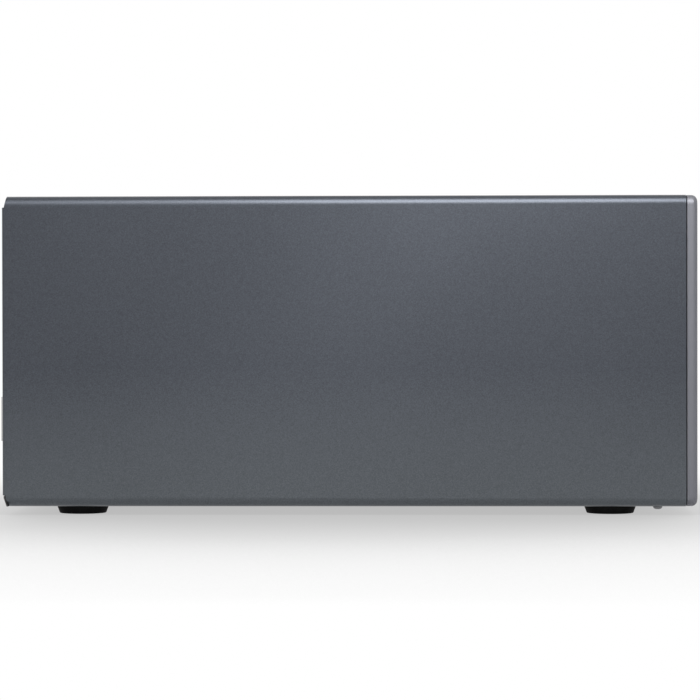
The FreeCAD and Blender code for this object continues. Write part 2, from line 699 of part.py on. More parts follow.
def bus_ports():
    """Two flat oval bus sockets at the rear edge of the board, each with its tongue."""
    ports = []
    for x in bus_port_x:
        low = board_z + board_thickness + 1.8
        shell = section(clipped(x - 4.6, x + 4.6, low, low + 3.3, 1.1), 320.0, rear_wall + 0.4)
        room = section(clipped(x - 4.25, x + 4.25, low + 0.35, low + 2.95, 0.85), 322.0, rear_wall + 2)
        tongue = block(x - 3.3, x + 3.3, 321.5, 328.0, low + 1.3, low + 2.0)
        stand = block(x - 4.0, x + 4.0, 320.0, 326.0, board_z + board_thickness, low + 0.5)
        ports.append(fuse([shell.cut(room), tongue, stand]))
    return Part.makeCompound(ports)


def heat_sink():
    """The finned cooler on the interface board's bridge chip."""
    base = board_z + board_thickness + 2.0
    foot = block(-54.0, -24.0, 244.0, 274.0, base, base + 2.5)
    fins = [block(-54.0 + 4.1 * i, -52.8 + 4.1 * i, 244.0, 274.0, base + 2.4, base + 13.0) for i in range(8)]
    return fuse([foot] + fins)


def board_parts():
    """The bridge chip, inductors, capacitors and headers on the interface board."""
    top = board_z + board_thickness
    pieces = [block(-50.0, -28.0, 248.0, 270.0, top, top + 1.9)]
    pieces += [block(-20.0, -12.0, d, d + 8.0, top, top + 4.5) for d in (236.0, 248.0, 260.0)]
    small_chips = ((-62.0, 240.0), (-62.0, 262.0), (-40.0, 286.0))
    pieces += [block(x, x + 5.0, d, d + 5.0, top, top + 1.2) for x, d in small_chips]
    pieces += [block(-60.0, -44.0, 218.0, 224.0, top, top + 5.5),
               block(-34.0, -18.0, 218.0, 224.0, top, top + 8.0)]
    pieces += [stud(-16.0, 283.0, top, top + 8.0, 4.0, 16)]
    return Part.makeCompound(pieces)


# ---------------------------------------------------------------- tape drive: frame and front
def drive_frame():
    """The cast frame of the tape drive: two walls, the deck between them, a rear wall and sled rails."""
    tall = lid_under - 0.1
    body = section(
        [(-drive_half, drive_bottom, 0.8), (-wall_inner, drive_bottom, 0), (-wall_inner, deck_under, 0),
         (wall_inner, deck_under, 0), (wall_inner, drive_bottom, 0), (drive_half, drive_bottom, 0.8),
         (drive_half, tall, 0), (wall_inner, tall, 0), (wall_inner, deck_top, 1.0),
         (-wall_inner, deck_top, 1.0), (-wall_inner, tall, 0), (-drive_half, tall, 0)],
        drive_front, drive_back)
    rear = block(-wall_inner - 1, wall_inner + 1, drive_back - 2.0, drive_back, deck_top - 1, tall)
    rails = both_sides(block(57.5, 61.6, 28.0, 116.0, deck_top - 0.5, sled_bottom - 0.2))
    window = block(-46.0, 46.0, drive_back - 3, drive_back + 1, 108.0, 116.0)
    seats = [hexagon(1.5, 6.0, V(s * 74.0, back(d), drive_screw_z), V(-s, 0, 0))
             for s in (-1, 1) for d in drive_screw_depths]
    switch_notch = block(45.0, 59.0, drive_front - 1, 18.0, deck_under - 1, deck_top + 1)
    return cut(fuse([body, rear] + rails), [window, switch_notch] + seats)


def drive_lid():
    """The folded lid over the tape drive, with a raised panel pressed into it."""
    lip = 6.5
    edge = drive_half + 1.0
    skin = section(
        [(-edge, lid_top - lip, 0), (-edge, lid_top, 1.2), (edge, lid_top, 1.2), (edge, lid_top - lip, 0),
         (edge - 0.9, lid_top - lip, 0), (edge - 0.9, lid_under, 0.3), (-edge + 0.9, lid_under, 0.3),
         (-edge + 0.9, lid_top - lip, 0)],
        drive_front + 0.2, drive_back + 0.2)
    outside = section(rectangle(-52.0, 52.0, lid_top - 0.1, lid_top + 0.6, 0), 34.0, 104.0)
    inside = block(-51.0, 51.0, 35.0, 103.0, lid_under - 1, lid_top - 0.4)
    vents = [block(x, x + 6.0, 120.0, 146.0, lid_under - 1, lid_top + 1) for x in (-44.0, -32.0)]
    return cut(fuse([skin, outside]), [inside] + vents)


def drive_bezel():
    """The drive's own face: cartridge slot, door pocket, button hole, lens holes and display window."""
    low, high = drive_bay_z + 0.4, drive_bay_z + bay_opening - 0.4
    edge = bay_half_width - 0.4
    face = section(rectangle(-edge, edge, low, high), face_inset, drive_front - 0.1)
    rim = [e for e in face.Edges if e.BoundBox.YMax < back(face_inset + 0.01)]
    face = face.makeChamfer(0.7, rim)
    slot = block(-slot_half, slot_half, -1, 8, slot_bottom, slot_top)
    flare = side_profile(
        [(face_inset - 0.5, slot_bottom - 1.4, 0), (face_inset + 1.6, slot_bottom + 0.1, 0),
         (face_inset + 1.6, slot_top - 0.1, 0), (face_inset - 0.5, slot_top + 1.2, 0)],
        -slot_half - 0.8, slot_half + 0.8)
    pocket = block(-55.9, 55.9, 2.5, 8, slot_bottom - 0.8, high - 0.9)
    pin_way = block(-57.7, 57.7, door_axis_depth - 0.86, 8, door_axis_z - 0.86, door_axis_z + 0.86)
    display = block(*display_x, -1, 8, *display_z)
    button = block(key_x[0] - 0.3, key_x[1] + 0.3, -1, 8, key_z[0] - 0.3, key_z[1] + 0.3)
    lenses = [block(x - 2.05, x + 2.05, -1, 8, 103.95, 106.05) for x in lamp_x]
    return cut(face, [slot, flare, pocket, pin_way, display, button] + lenses)


def slot_door():
    """The flap behind the cartridge slot, hung from pins along its top edge."""
    flap = block(-55.4, 55.4, door_axis_depth - 1.2, door_axis_depth + 0.2, slot_bottom + 0.3, door_axis_z)
    knuckle = cross_stud(-55.4, 55.4, door_axis_depth - 0.2, door_axis_z, 1.0)
    pins = cross_pin(-57.5, 57.5, door_axis_depth, door_axis_z, 0.8)
    grip = block(-30.0, 30.0, door_axis_depth - 1.5, door_axis_depth - 0.5,
                 slot_bottom + 1.4, slot_bottom + 2.6)
    return fuse([flap, knuckle, pins, grip])


def eject_button():
    """The rectangular eject key with a stem that works a switch behind the face."""
    cap = section(rectangle(*key_x, *key_z), 0.15, 4.6)
    rim = [e for e in cap.Edges if e.BoundBox.YMax < back(0.16)]
    cap = cap.makeChamfer(0.4, rim)
    return fuse([cap, block(50.8, 53.2, 4.5, 10.5, 105.0, 107.4)])


def indicator_lenses():
    """The drive's four lamps and the enclosure's power lamp."""
    lamps = [block(x - 2.0, x + 2.0, face_inset - 0.2, drive_front - 0.4, 104.0, 106.0) for x in lamp_x]
    lamps.append(block(power_lamp_x[0] + 0.05, power_lamp_x[1] - 0.05, 0.1, bezel_thickness + 1.0,
                       power_lamp_z[0] + 0.05, power_lamp_z[1] - 0.05))
    return Part.makeCompound(lamps)


def display_window():
    """The single-character display behind its smoked window."""
    return block(display_x[0] + 0.2, display_x[1] - 0.2, face_inset + 0.5, drive_front - 0.3,
                 display_z[0] + 0.2, display_z[1] - 0.2)


def drive_board():
    """The tape drive's main circuit board under the deck, with its chips and rear connectors."""
    board = block(-69.0, 69.0, 8.0, 206.0, 98.6, 100.2)
    chips = [block(-40.0, -16.0, 60.0, 84.0, 100.15, 101.8), block(6.0, 26.0, 96.0, 116.0, 100.15, 101.8),
             block(-52.0, -38.0, 130.0, 144.0, 100.15, 101.6), block(30.0, 44.0, 40.0, 54.0, 100.15, 101.6)]
    key_switch = block(47.0, 57.0, 11.9, 17.0, 100.15, 107.6)
    return fuse([board, key_switch] + chips)


def drive_connectors():
    """The data plug and the power header at the back of the tape drive."""
    plug = block(-30.0, 14.0, 204.0, 213.0, 100.3, 102.4)
    power = block(24.0, 50.0, 206.2, 214.0, 98.6, 102.4)
    return Part.makeCompound([plug, power])


# ---------------------------------------------------------------- tape drive: loading mechanism
def tooth_widths(module):
    """Half widths of a tooth at its root and its tip, slim enough to leave backlash."""
    pitch = math.pi * module
    return 0.32 * pitch, 0.11 * pitch


def spur_gear(x, depth, z0, z1, teeth, module, first=0.0, span=360.0, inner=0.0):
    """A gear about an upright axis. Under 360 degrees of span, it is a sector from its first tooth on."""
    root_r = (teeth / 2 - 1.1) * module
    tip_r = (teeth / 2 + 0.85) * module
    root_w, tip_w = tooth_widths(module)
    step = 360.0 / teeth
    count = int(round(span / step))
    corners = []
    for i in range(count):
        mid = first + i * step
        for radius, half_width in ((root_r, -root_w), (tip_r, -tip_w), (tip_r, tip_w), (root_r, root_w)):
            angle = math.radians(mid) + half_width / radius
            corners.append((x + radius * math.cos(angle), depth + radius * math.sin(angle), 0))
    if span < 359.0:
        for degrees in (first + (count - 0.5) * step, first - 0.5 * step):
            angle = math.radians(degrees)
            corners.append((x + inner * math.cos(angle), depth + inner * math.sin(angle), 0))
    return plan(corners, z0, z1)


def loader_sled():
    """The sliding frame of the loader: two slotted plates, outward feet, a rear bar and the rack."""
    z0 = sled_bottom
    outer = sled_inner + sled_plate
    foot_x1 = rack_pitch_x - 1.1 * gear_module
    right = section([(sled_inner, z0, 0), (foot_x1, z0, 0), (foot_x1, z0 + 1.4, 0), (outer, z0 + 1.4, 0),
                     (outer, 135.0, 0), (sled_inner, 135.0, 0)], tray_front, tray_back + 1.0)
    cross_bar = block(-outer, outer, tray_back - 4.0, tray_back + 1.0, z0, z0 + 1.4)
    pitch = math.pi * gear_module
    root_w, tip_w = tooth_widths(gear_module)
    tip_x = rack_pitch_x + 0.85 * gear_module
    teeth = []
    for i in range(-11, 2):
        mid = pinion_depth + i * pitch + pitch / 2
        teeth.append(plan([(foot_x1, mid - root_w, 0), (tip_x, mid - tip_w, 0), (tip_x, mid + tip_w, 0),
                           (foot_x1, mid + root_w, 0)], z0, z0 + 1.4))
    body = fuse(both_sides(right) + [cross_bar] + teeth)
    slots = [block(-60, 60, d - 1.55, d + 1.55, tray_pin_z - tray_drop - 1.55, tray_pin_z + 1.55)
             for d in tray_pin_depths]
    return cut(body, slots)


def cartridge_tray():
    """The tray that holds the cartridge: top, walls, two lips under it, back stops and guide pins."""
    inner = tray_half - tray_wall
    lip = 13.0
    body = section(
        [(-inner + lip, tray_bottom, 0), (-tray_half, tray_bottom, 0), (-tray_half, tray_top, 0.8),
         (tray_half, tray_top, 0.8), (tray_half, tray_bottom, 0), (inner - lip, tray_bottom, 0),
         (inner - lip, tray_bottom + 0.8, 0), (inner, tray_bottom + 0.8, 0), (inner, tray_top - 0.9, 0),
         (-inner, tray_top - 0.9, 0), (-inner, tray_bottom + 0.8, 0), (-inner + lip, tray_bottom + 0.8, 0)],
        tray_front, tray_back)
    stops = [block(x, x + 14.0, tray_back - 1.2, tray_back, 118.0, tray_top - 0.5) for x in (-30.0, 26.0)]
    pins = [cross_stud(x, x + 2.2, d, tray_pin_z, 1.4)
            for x in (-tray_half - 1.6, tray_half - 0.6) for d in tray_pin_depths]
    window = block(-30.0, 30.0, tray_front + 12.0, tray_back - 12.0, tray_top - 2, tray_top + 1)
    notch = plan([(-26.0, tray_front - 1, 0), (26.0, tray_front - 1, 0), (20.0, tray_front + 6, 0),
                  (-20.0, tray_front + 6, 0)], tray_top - 2, tray_top + 1)
    return cut(fuse([body] + stops + pins), [window, notch])


def loader_pinion():
    """The pinion that drives the rack, on its gearmotor's shaft."""
    x = pinion_x
    gear = spur_gear(x, pinion_depth, sled_bottom - 0.1, sled_bottom + 1.6, pinion_teeth, gear_module,
                     first=180.0)
    return fuse([gear, upright_pin(x, pinion_depth, sled_bottom + 1.6, 113.5, 1.2)])


def loader_motor():
    """The gearmotor of the loader, held to the right wall by its bracket."""
    x = pinion_x
    can = block(x - 4.6, x + 4.6, pinion_depth - 5.0, pinion_depth + 5.0, 112.0, 132.0)
    bore = socket(x, pinion_depth, 111.0, 114.5, 1.25)
    bracket = block(x + 1.0, wall_inner - 0.05, pinion_depth - 8, pinion_depth + 8, 112.0, 113.4)
    return cut(fuse([can, bracket]), [bore])


def reel_motors():
    """The two flat motors that turn the cartridge's reel and the take-up reel."""
    motors = []
    for x, depth, top, shaft in ((0.0, spindle_depth, 108.3, 3.0), (reel_x, reel_depth, 111.6, 4.0)):
        disc = stud(x, depth, deck_top + 0.02, top, motor_radius, 24)
        motors.append(disc.cut(socket(x, depth, deck_top + 0.6, top + 1, shaft + 0.05, 16)))
    return Part.makeCompound(motors)


def supply_chuck():
    """The toothed chuck that turns the cartridge's reel."""
    plate = stud(0, spindle_depth, 108.6, 110.6, 16.5, 28)
    shaft = upright_pin(0, spindle_depth, 105.2, 108.6, 3.0, 8)
    teeth = []
    for i in range(10):
        tooth = side_profile([(spindle_depth - 1.5, 110.4, 0), (spindle_depth + 1.5, 110.4, 0),
                              (spindle_depth + 0.4, 112.2, 0), (spindle_depth - 0.4, 112.2, 0)], 10.0, 15.5)
        teeth.append(turned(tooth, 0, spindle_depth, 36.0 * i))
    return fuse([plate, shaft] + teeth)


def takeup_reel():
    """The take-up reel: two flanges and a hub with a notch for the leader block."""
    lower = stud(reel_x, reel_depth, tape_bottom - 1.3, tape_bottom, reel_radius, 32)
    upper = stud(reel_x, reel_depth, tape_top, tape_top + 1.2, reel_radius, 32)
    hub = stud(reel_x, reel_depth, tape_bottom, tape_top, reel_hub, 32)
    shaft = upright_pin(reel_x, reel_depth, 105.2, tape_bottom - 1.3, 4.0, 8)
    notch = block(reel_x - reel_hub - 1, reel_x - reel_hub + 6, reel_depth - 5, reel_depth + 5,
                  tape_bottom, tape_top)
    windows = []
    for i in range(3):
        pane = block(reel_x + 26.0, reel_x + 36.0, reel_depth - 8, reel_depth + 8,
                     tape_top - 0.5, tape_top + 2)
        windows.append(turned(pane, reel_x, reel_depth, 120.0 * i))
    return cut(fuse([lower, upper, hub, shaft]), [notch] + windows)


def roller_places():
    """The x and depth of the four guide rollers, two on each side of the head."""
    bearings = [180 + roller_swing[0], 180 + roller_swing[1], 180 - roller_swing[1], 180 - roller_swing[0]]
    reaches = [roller_reach[0], roller_reach[1], roller_reach[1], roller_reach[0]]
    return [around_reel(reach, bearing) for reach, bearing in zip(reaches, bearings)]


def guide_roller(x, depth):
    """One tape guide roller."""
    body = stud(x, depth, tape_bottom - 0.6, tape_top + 0.6, roller_radius, 20)
    return body.cut(socket(x, depth, tape_bottom - 2, tape_top + 2, roller_bore))


def roller_posts():
    """The four posts that the guide rollers turn on, each with a collar under its roller."""
    posts = []
    for x, depth in roller_places():
        stem = stud(x, depth, deck_top + 0.02, tape_top + 1.6, post_radius)
        collar = hexagon(3.6, tape_bottom - 0.9 - deck_top - 0.02, V(x, back(depth), deck_top + 0.02),
                         V(0, 0, 1))
        posts.append(fuse([stem, collar]))
    return Part.makeCompound(posts)


def head_frame():
    """The upright that guides the head sled, between two plates, with its two guide rods."""
    x, d = head_x, reel_depth
    foot = block(x - 10.0, x + 9.0, d - 9.0, d + 9.0, deck_top + 0.02, deck_top + 2.0)
    back_plate = block(x + 7.0, x + 9.0, d - 9.0, d + 9.0, deck_top + 1.0, 130.4)
    cap = block(x - 6.0, x + 9.0, d - 9.0, d + 9.0, 128.8, 130.4)
    rods = [stud(x, d + s * 6.0, deck_top + 1.5, 129.5, 1.2) for s in (-1, 1)]
    screw_seats = [socket(x + head_screw_offset, d, *ends, 0.9)
                   for ends in ((deck_top + 1.0, deck_top + 3.0), (128.0, 131.0))]
    return cut(fuse([foot, back_plate, cap] + rods), screw_seats)


def head_sled():
    """The block that carries the head up and down on the guide rods."""
    x, d = head_x, reel_depth
    mid = (tape_bottom + tape_top) / 2
    body = block(x - 5.0, x + 5.6, d - 8.4, d + 8.4, mid - 5.5, mid + 5.5)
    bores = [socket(x, d + s * 6.0, 100, 140, 1.26) for s in (-1, 1)]
    nut = socket(x + head_screw_offset, d, 100, 140, 0.95)
    return cut(body, bores + [nut])


def tape_head():
    """The read and write head: a narrow block with two raised ribs that the tape runs over."""
    x, d = head_x, reel_depth
    mid = (tape_bottom + tape_top) / 2
    return plan(
        [(x - 5.0, d - 4.2, 0), (x - 5.0, d + 4.2, 0), (x - 17.5, d + 3.2, 0), (x - 18.4, d + 1.8, 0),
         (x - 17.5, d + 0.5, 0), (x - 17.5, d - 0.5, 0), (x - 18.4, d - 1.8, 0), (x - 17.5, d - 3.2, 0)],
        mid - 4.4, mid + 4.4)


def head_screw():
    """The lead screw that lifts the head sled."""
    return upright_pin(head_x + head_screw_offset, reel_depth, deck_top + 1.2, 130.3, 0.85)


def threader_pivot():
    """The shouldered post that hangs from the lid and carries the threading arm."""
    top = arm_under + arm_thickness + 0.3
    return fuse([upright_pin(reel_x, reel_depth, arm_under - 0.6, top + 1.0, 3.0),
                 hexagon(4.6, 0.9, V(reel_x, back(reel_depth), arm_under - 1.2), V(0, 0, 1)),
                 hexagon(5.4, lid_under - 0.02 - top, V(reel_x, back(reel_depth), top), V(0, 0, 1))])


def threading_arm():
    """The slotted arm that carries the leader block round the rollers, with its gear sector."""
    z0, z1 = arm_under, arm_under + arm_thickness
    tip = reel_x + arm_reach + 3.4
    strip = plan([(reel_x, reel_depth - 5.5, 0), (tip - 3.0, reel_depth - 5.5, 0), (tip, reel_depth - 2.5, 0),
                  (tip, reel_depth + 2.5, 0), (tip - 3.0, reel_depth + 5.5, 0),
                  (reel_x, reel_depth + 5.5, 0)], z0, z1)
    eye = stud(reel_x, reel_depth, z0, z1, 9.0, 20)
    groove = block(reel_x + groove_start, reel_x + arm_reach + 1.6, reel_depth - 1.6, reel_depth + 1.6,
                   z0 - 1, z1 + 1)
    blade = turned(cut(fuse([strip, eye]), [groove]), reel_x, reel_depth, arm_rest)
    sector = spur_gear(reel_x, reel_depth, z0, z1, sector_teeth, gear_module,
                       first=arm_rest - 7.2 * 13, span=7.2 * 12, inner=6.0)
    bore = post(reel_x, reel_depth, z0 - 1, z1 + 1, 3.06)
    return cut(fuse([blade, sector]), [bore])


def leader_block():
    """The block that takes the tape's leader pin, hung from the arm's groove."""
    x, d = around_reel(arm_reach, arm_rest)
    hook = plan(rectangle(x - 3.0, x + 3.0, d - 3.0, d + 3.0), tape_bottom + 0.4, arm_under - 0.3)
    mouth = block(x - 1.3, x + 1.3, d - 5.0, d, tape_bottom - 1, tape_top - 0.6)
    neck = stud(x, d, arm_under - 0.3, arm_under + arm_thickness + 0.3, 1.4)
    cap = stud(x, d, arm_under + arm_thickness + 0.3, arm_under + arm_thickness + 1.2, 2.6)
    return fuse([cut(hook, [mouth]), neck, cap])


def threader_bearing():
    """The bearing in degrees, from the reel's axis, of the small gear that drives the arm's sector."""
    return arm_rest - 7.2 * 13 + 7.2 * 0.5 + 7.2 * 1


def threader_place():
    """The x and depth of the threading motor's shaft."""
    reach = (sector_teeth + threader_teeth) / 2 * gear_module + 0.08
    return around_reel(reach, threader_bearing())


def threader_pinion():
    """The small gear on the threading motor's shaft."""
    x, d = threader_place()
    gear = spur_gear(x, d, arm_under - 0.1, arm_under + arm_thickness + 0.1, threader_teeth, gear_module,
                     first=threader_bearing() + 180.0)
    return fuse([gear, upright_pin(x, d, arm_under + arm_thickness + 0.1, 135.0, 1.0)])


def threader_motor():
    """The small motor that hangs from the lid above the threading gear."""
    x, d = threader_place()
    can = block(x - 6.0, x + 6.0, d - 6.0, d + 6.0, 134.0, lid_under - 0.02)
    return cut(can, [socket(x, d, 133.0, 135.4, 1.05)])


# ---------------------------------------------------------------- leads inside the enclosure
def data_ribbon():
    """The flat data lead from the drive's plug down to the interface board, folded twice."""
    top = 101.35
    low = board_z + board_thickness + 2.8
    d0, d1 = 213.0, 217.9
    thick = 0.9
    return side_profile(
        [(d0, top - thick, 0), (d0 + 9.0, top - thick, 0), (d0 + 9.0, 60.0, 0), (d0 - 5.0, 60.0, 0),
         (d0 - 5.0, low, 0), (d1, low, 0), (d1, low + thick, 0), (d0 - 5.0 + thick, low + thick, 0),
         (d0 - 5.0 + thick, 60.0 - thick, 0), (d0 + 9.0 + thick, 60.0 - thick, 0),
         (d0 + 9.0 + thick, top, 0), (d0, top, 0)],
        -29.0, -15.0)


BUILDERS = (
    outer_cover, chassis, front_bezel, bay_blank, drive_cage, rubber_feet, foot_screws, cover_screws,
    drive_screws, dust_filter, indicator_lenses, fan_frame, fan_rotor, fan_grille, fan_screws,
    power_supply, supply_internals, mains_inlet, inlet_pins, switch_frame, power_rocker, board_tray,
    interface_board, port_cage, port_tongues, bus_ports, heat_sink, board_parts, data_ribbon,
    drive_frame, drive_lid, drive_bezel, slot_door, eject_button, display_window, drive_board,
    drive_connectors, loader_sled, cartridge_tray, loader_pinion, loader_motor, reel_motors,
    supply_chuck, takeup_reel, roller_posts, head_frame, head_sled, tape_head, head_screw,
    threader_pivot, threading_arm, leader_block, threader_pinion, threader_motor,
)


def main():
    """Builds every piece and writes one file for each node."""
    os.makedirs("parts", exist_ok=True)
    parts = {build.__name__: build() for build in BUILDERS}
    for number, place in enumerate(roller_places(), 1):
        parts["guide_roller_%d" % number] = guide_roller(*place)
    for name, shape in parts.items():
        shape.exportStep("parts/%s.step" % name)
        print(name, len(shape.Solids), shape.isValid(), round(shape.Volume / 1000.0, 2))


main()
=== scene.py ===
"""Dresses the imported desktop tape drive: finishes, fasteners, fan, ports, tape path and studio.

Everything is in metres in the frame's own axes: +Z up, the front plate towards -Y, the origin on the floor.
"""

import json
import math
from typing import NamedTuple

import bmesh
import bpy
from mathutils import Matrix, Vector


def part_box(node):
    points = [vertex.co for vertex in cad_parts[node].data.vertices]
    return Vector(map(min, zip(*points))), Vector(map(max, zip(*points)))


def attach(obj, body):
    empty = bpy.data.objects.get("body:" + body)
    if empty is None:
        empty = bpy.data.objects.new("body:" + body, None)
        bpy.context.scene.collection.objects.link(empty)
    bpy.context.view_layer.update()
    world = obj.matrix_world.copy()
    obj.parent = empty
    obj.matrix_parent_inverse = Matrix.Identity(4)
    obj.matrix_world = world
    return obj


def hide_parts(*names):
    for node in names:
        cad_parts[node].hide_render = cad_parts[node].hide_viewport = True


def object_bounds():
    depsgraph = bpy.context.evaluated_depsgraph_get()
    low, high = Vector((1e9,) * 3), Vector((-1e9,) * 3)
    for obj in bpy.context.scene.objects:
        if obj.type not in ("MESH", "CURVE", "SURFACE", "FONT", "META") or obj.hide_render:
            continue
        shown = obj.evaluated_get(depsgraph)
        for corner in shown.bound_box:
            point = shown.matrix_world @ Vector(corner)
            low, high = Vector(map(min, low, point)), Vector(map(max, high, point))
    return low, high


bl_info = {
    "name": "Desktop tape drive",
    "version": (1, 0, 0),
    "blender": (4, 5, 0),
    "location": "3D View > Sidebar > Tape Drive",
    "description": "Finishes, fasteners, fan, ports, tape path and studio of a desktop tape drive",
    "category": "Object",
}

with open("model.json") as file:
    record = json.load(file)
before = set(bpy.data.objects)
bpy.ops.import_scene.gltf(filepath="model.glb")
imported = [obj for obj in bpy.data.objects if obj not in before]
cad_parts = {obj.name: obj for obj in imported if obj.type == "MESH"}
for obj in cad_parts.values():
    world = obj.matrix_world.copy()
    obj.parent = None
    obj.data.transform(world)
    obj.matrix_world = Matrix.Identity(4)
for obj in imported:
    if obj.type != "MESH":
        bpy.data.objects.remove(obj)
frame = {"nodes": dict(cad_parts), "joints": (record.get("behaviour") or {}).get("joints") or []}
CAD_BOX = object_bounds()

MM = 0.001
UP = Vector((0, 0, 1))
DOWN = Vector((0, 0, -1))
REARWARD = Vector((0, 1, 0))
WHITE = (1.0, 1.0, 1.0)
ENCLOSURE = "enclosure"
FOOT_RADIUS = 12.7 * MM
FOOT_SEAT = 2.4 * MM            # height of the screw's seat in a foot's recess
BOARD = 1.6 * MM                # thickness of a circuit board


# ---------------------------------------------------------------- places taken from the frame
def span(node):
    """Lowest corner, highest corner and middle of a node."""
    low, high = (Vector(corner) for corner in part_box(node))
    return low, high, (low + high) / 2


def pivot(name):
    """The point that a joint of the frame turns about."""
    return Vector(next(joint for joint in frame["joints"] if joint["name"] == name)["pos_m"])


def mm(*numbers):
    """A vector given in millimetres."""
    return Vector(number * MM for number in numbers)


def spots_from(corner, lift=0.0):
    """A function for places that are given in millimetres from a corner, on a board of this thickness."""
    return lambda x, y, z: corner + Vector((x, y, z)) * MM + Vector((0, 0, lift))


def profile(*points):
    """A profile for lathe, given as (radius, height) in millimetres."""
    return [(radius * MM, height * MM) for radius, height in points]


# ---------------------------------------------------------------- what a user would change
class TapeDriveSizes(bpy.types.PropertyGroup):
    """Sizes of the small forms that the finishes and fasteners need."""
    edge_break: bpy.props.FloatProperty(
        name="Edge break", description="Rounding on the edges of moulded and machined pieces",
        default=0.25 * MM, min=0.0, subtype="DISTANCE", unit="LENGTH")
    sheet_edge: bpy.props.FloatProperty(
        name="Sheet edge", description="Rounding on the cut edges of painted sheet",
        default=0.16 * MM, min=0.0, subtype="DISTANCE", unit="LENGTH")
    foot_lip: bpy.props.FloatProperty(
        name="Foot lip", description="Rounding round the tip of each rubber foot",
        default=0.35 * MM, min=0.0, subtype="DISTANCE", unit="LENGTH")
    camera_distance: bpy.props.FloatProperty(
        name="Camera distance", description="From the camera to the nearer side of the box",
        default=1.414, min=0.3, subtype="DISTANCE", unit="LENGTH")
    camera_swing: bpy.props.FloatProperty(
        name="Camera swing", description="How far the camera stands towards the front end",
        default=math.radians(1.7), subtype="ANGLE", unit="ROTATION")
    camera_rise: bpy.props.FloatProperty(
        name="Camera rise", description="How far the camera looks down on the box",
        default=math.radians(0.6), subtype="ANGLE", unit="ROTATION")
    camera_tilt: bpy.props.FloatProperty(
        name="Camera tilt", description="Roll of the camera about its line of sight",
        default=math.radians(-0.09), subtype="ANGLE", unit="ROTATION")
    aim_shift: bpy.props.FloatVectorProperty(
        name="Aim", description="How far rearwards and up of the side's middle the camera aims",
        default=(-2.7 * MM, 2.57 * MM), size=2, subtype="NONE", unit="LENGTH")
    view_width: bpy.props.FloatProperty(
        name="View width", description="Width of the view at the nearer side of the box",
        default=333.5 * MM, min=0.01, subtype="DISTANCE", unit="LENGTH")


class TapeDriveColours(bpy.types.PropertyGroup):
    """Colours of the finishes, in linear light."""
    cover: bpy.props.FloatVectorProperty(
        name="Cover", description="Metallic grey paint of the cover",
        default=(0.0540, 0.0595, 0.0704), size=3, min=0.0, max=1.0, subtype="COLOR")
    bezel: bpy.props.FloatVectorProperty(
        name="Front plate", description="Blasted and anodised front plate",
        default=(0.106, 0.1075, 0.121), size=3, min=0.0, max=1.0, subtype="COLOR")
    black: bpy.props.FloatVectorProperty(
        name="Black plastic", description="Moulded face parts",
        default=(0.014, 0.014, 0.016), size=3, min=0.0, max=1.0, subtype="COLOR")
    powder: bpy.props.FloatVectorProperty(
        name="Powder coat", description="Black coat on the inner chassis",
        default=(0.012, 0.012, 0.013), size=3, min=0.0, max=1.0, subtype="COLOR")
    rubber: bpy.props.FloatVectorProperty(
        name="Rubber", description="Moulded feet",
        default=(0.004, 0.004, 0.004), size=3, min=0.0, max=1.0, subtype="COLOR")
    zinc: bpy.props.FloatVectorProperty(
        name="Zinc", description="Galvanised inner sheet",
        default=(0.36, 0.37, 0.385), size=3, min=0.0, max=1.0, subtype="COLOR")
    mask: bpy.props.FloatVectorProperty(
        name="Solder mask", description="Circuit boards",
        default=(0.010, 0.075, 0.035), size=3, min=0.0, max=1.0, subtype="COLOR")


# ---------------------------------------------------------------- wiring of finishes
class Nodes:
    """A tree of shader nodes, and short ways to add to it."""

    def __init__(self, tree):
        self.tree = tree

    def node(self, kind, **settings):
        """A new node with these settings."""
        made = self.tree.nodes.new(kind)
        for key, value in settings.items():
            setattr(made, key, value)
        return made

    def join(self, out, into):
        """Links two sockets."""
        self.tree.links.new(out, into)

    def feed(self, socket, value):
        """Links another socket to this one, or puts a constant on it."""
        if isinstance(value, bpy.types.NodeSocket):
            self.join(value, socket)
        else:
            socket.default_value = value

    def math(self, operation, *values):
        """A number worked out from others, each a constant or a socket."""
        made = self.node("ShaderNodeMath", operation=operation)
        for socket, value in zip(made.inputs, values):
            self.feed(socket, value)
        return made.outputs["Value"]

    def between(self, value, low, high, start=0.0, end=1.0, **settings):
        """Maps a value from low..high to start..end."""
        made = self.node("ShaderNodeMapRange", **settings)
        numbers = {"Value": value, "From Min": low, "From Max": high, "To Min": start, "To Max": end}
        for key, number in numbers.items():
            self.feed(made.inputs[key], number)
        return made.outputs["Result"]

    def blend(self, amount, first, second):
        """A colour between two, where each is a colour or a socket."""
        made = self.node("ShaderNodeMix", data_type="RGBA")
        self.join(amount, made.inputs["Factor"])
        for socket, colour in ((made.inputs[6], first), (made.inputs[7], second)):
            self.feed(socket, colour if isinstance(colour, bpy.types.NodeSocket) else (*colour, 1.0))
        return made.outputs[2]

    def ramp(self, value, stops):
        """A colour looked up by a value, from stops of (value, colour) that start at nought."""
        made = self.node("ShaderNodeValToRGB")
        ends = made.color_ramp.elements
        ends.remove(ends[1])
        for at, colour in stops:
            stop = ends.new(at) if at else ends[0]
            stop.color = (*colour, 1.0)
        self.join(value, made.inputs["Fac"])
        return made.outputs["Color"]

    def end(self, kind, gathered, seen):
        """Ends the tree with one shader where light is gathered and another where the eye looks."""
        path = self.node("ShaderNodeLightPath").outputs
        looks = self.math("MAXIMUM", self.math("MAXIMUM", path["Is Camera Ray"], path["Is Glossy Ray"]),
                          path["Is Transmission Ray"])
        mix = self.node("ShaderNodeMixShader")
        for socket, out in zip(mix.inputs, (looks, gathered.outputs[0], seen.outputs[0])):
            self.join(out, socket)
        self.join(mix.outputs[0], self.node(kind).inputs["Surface"])


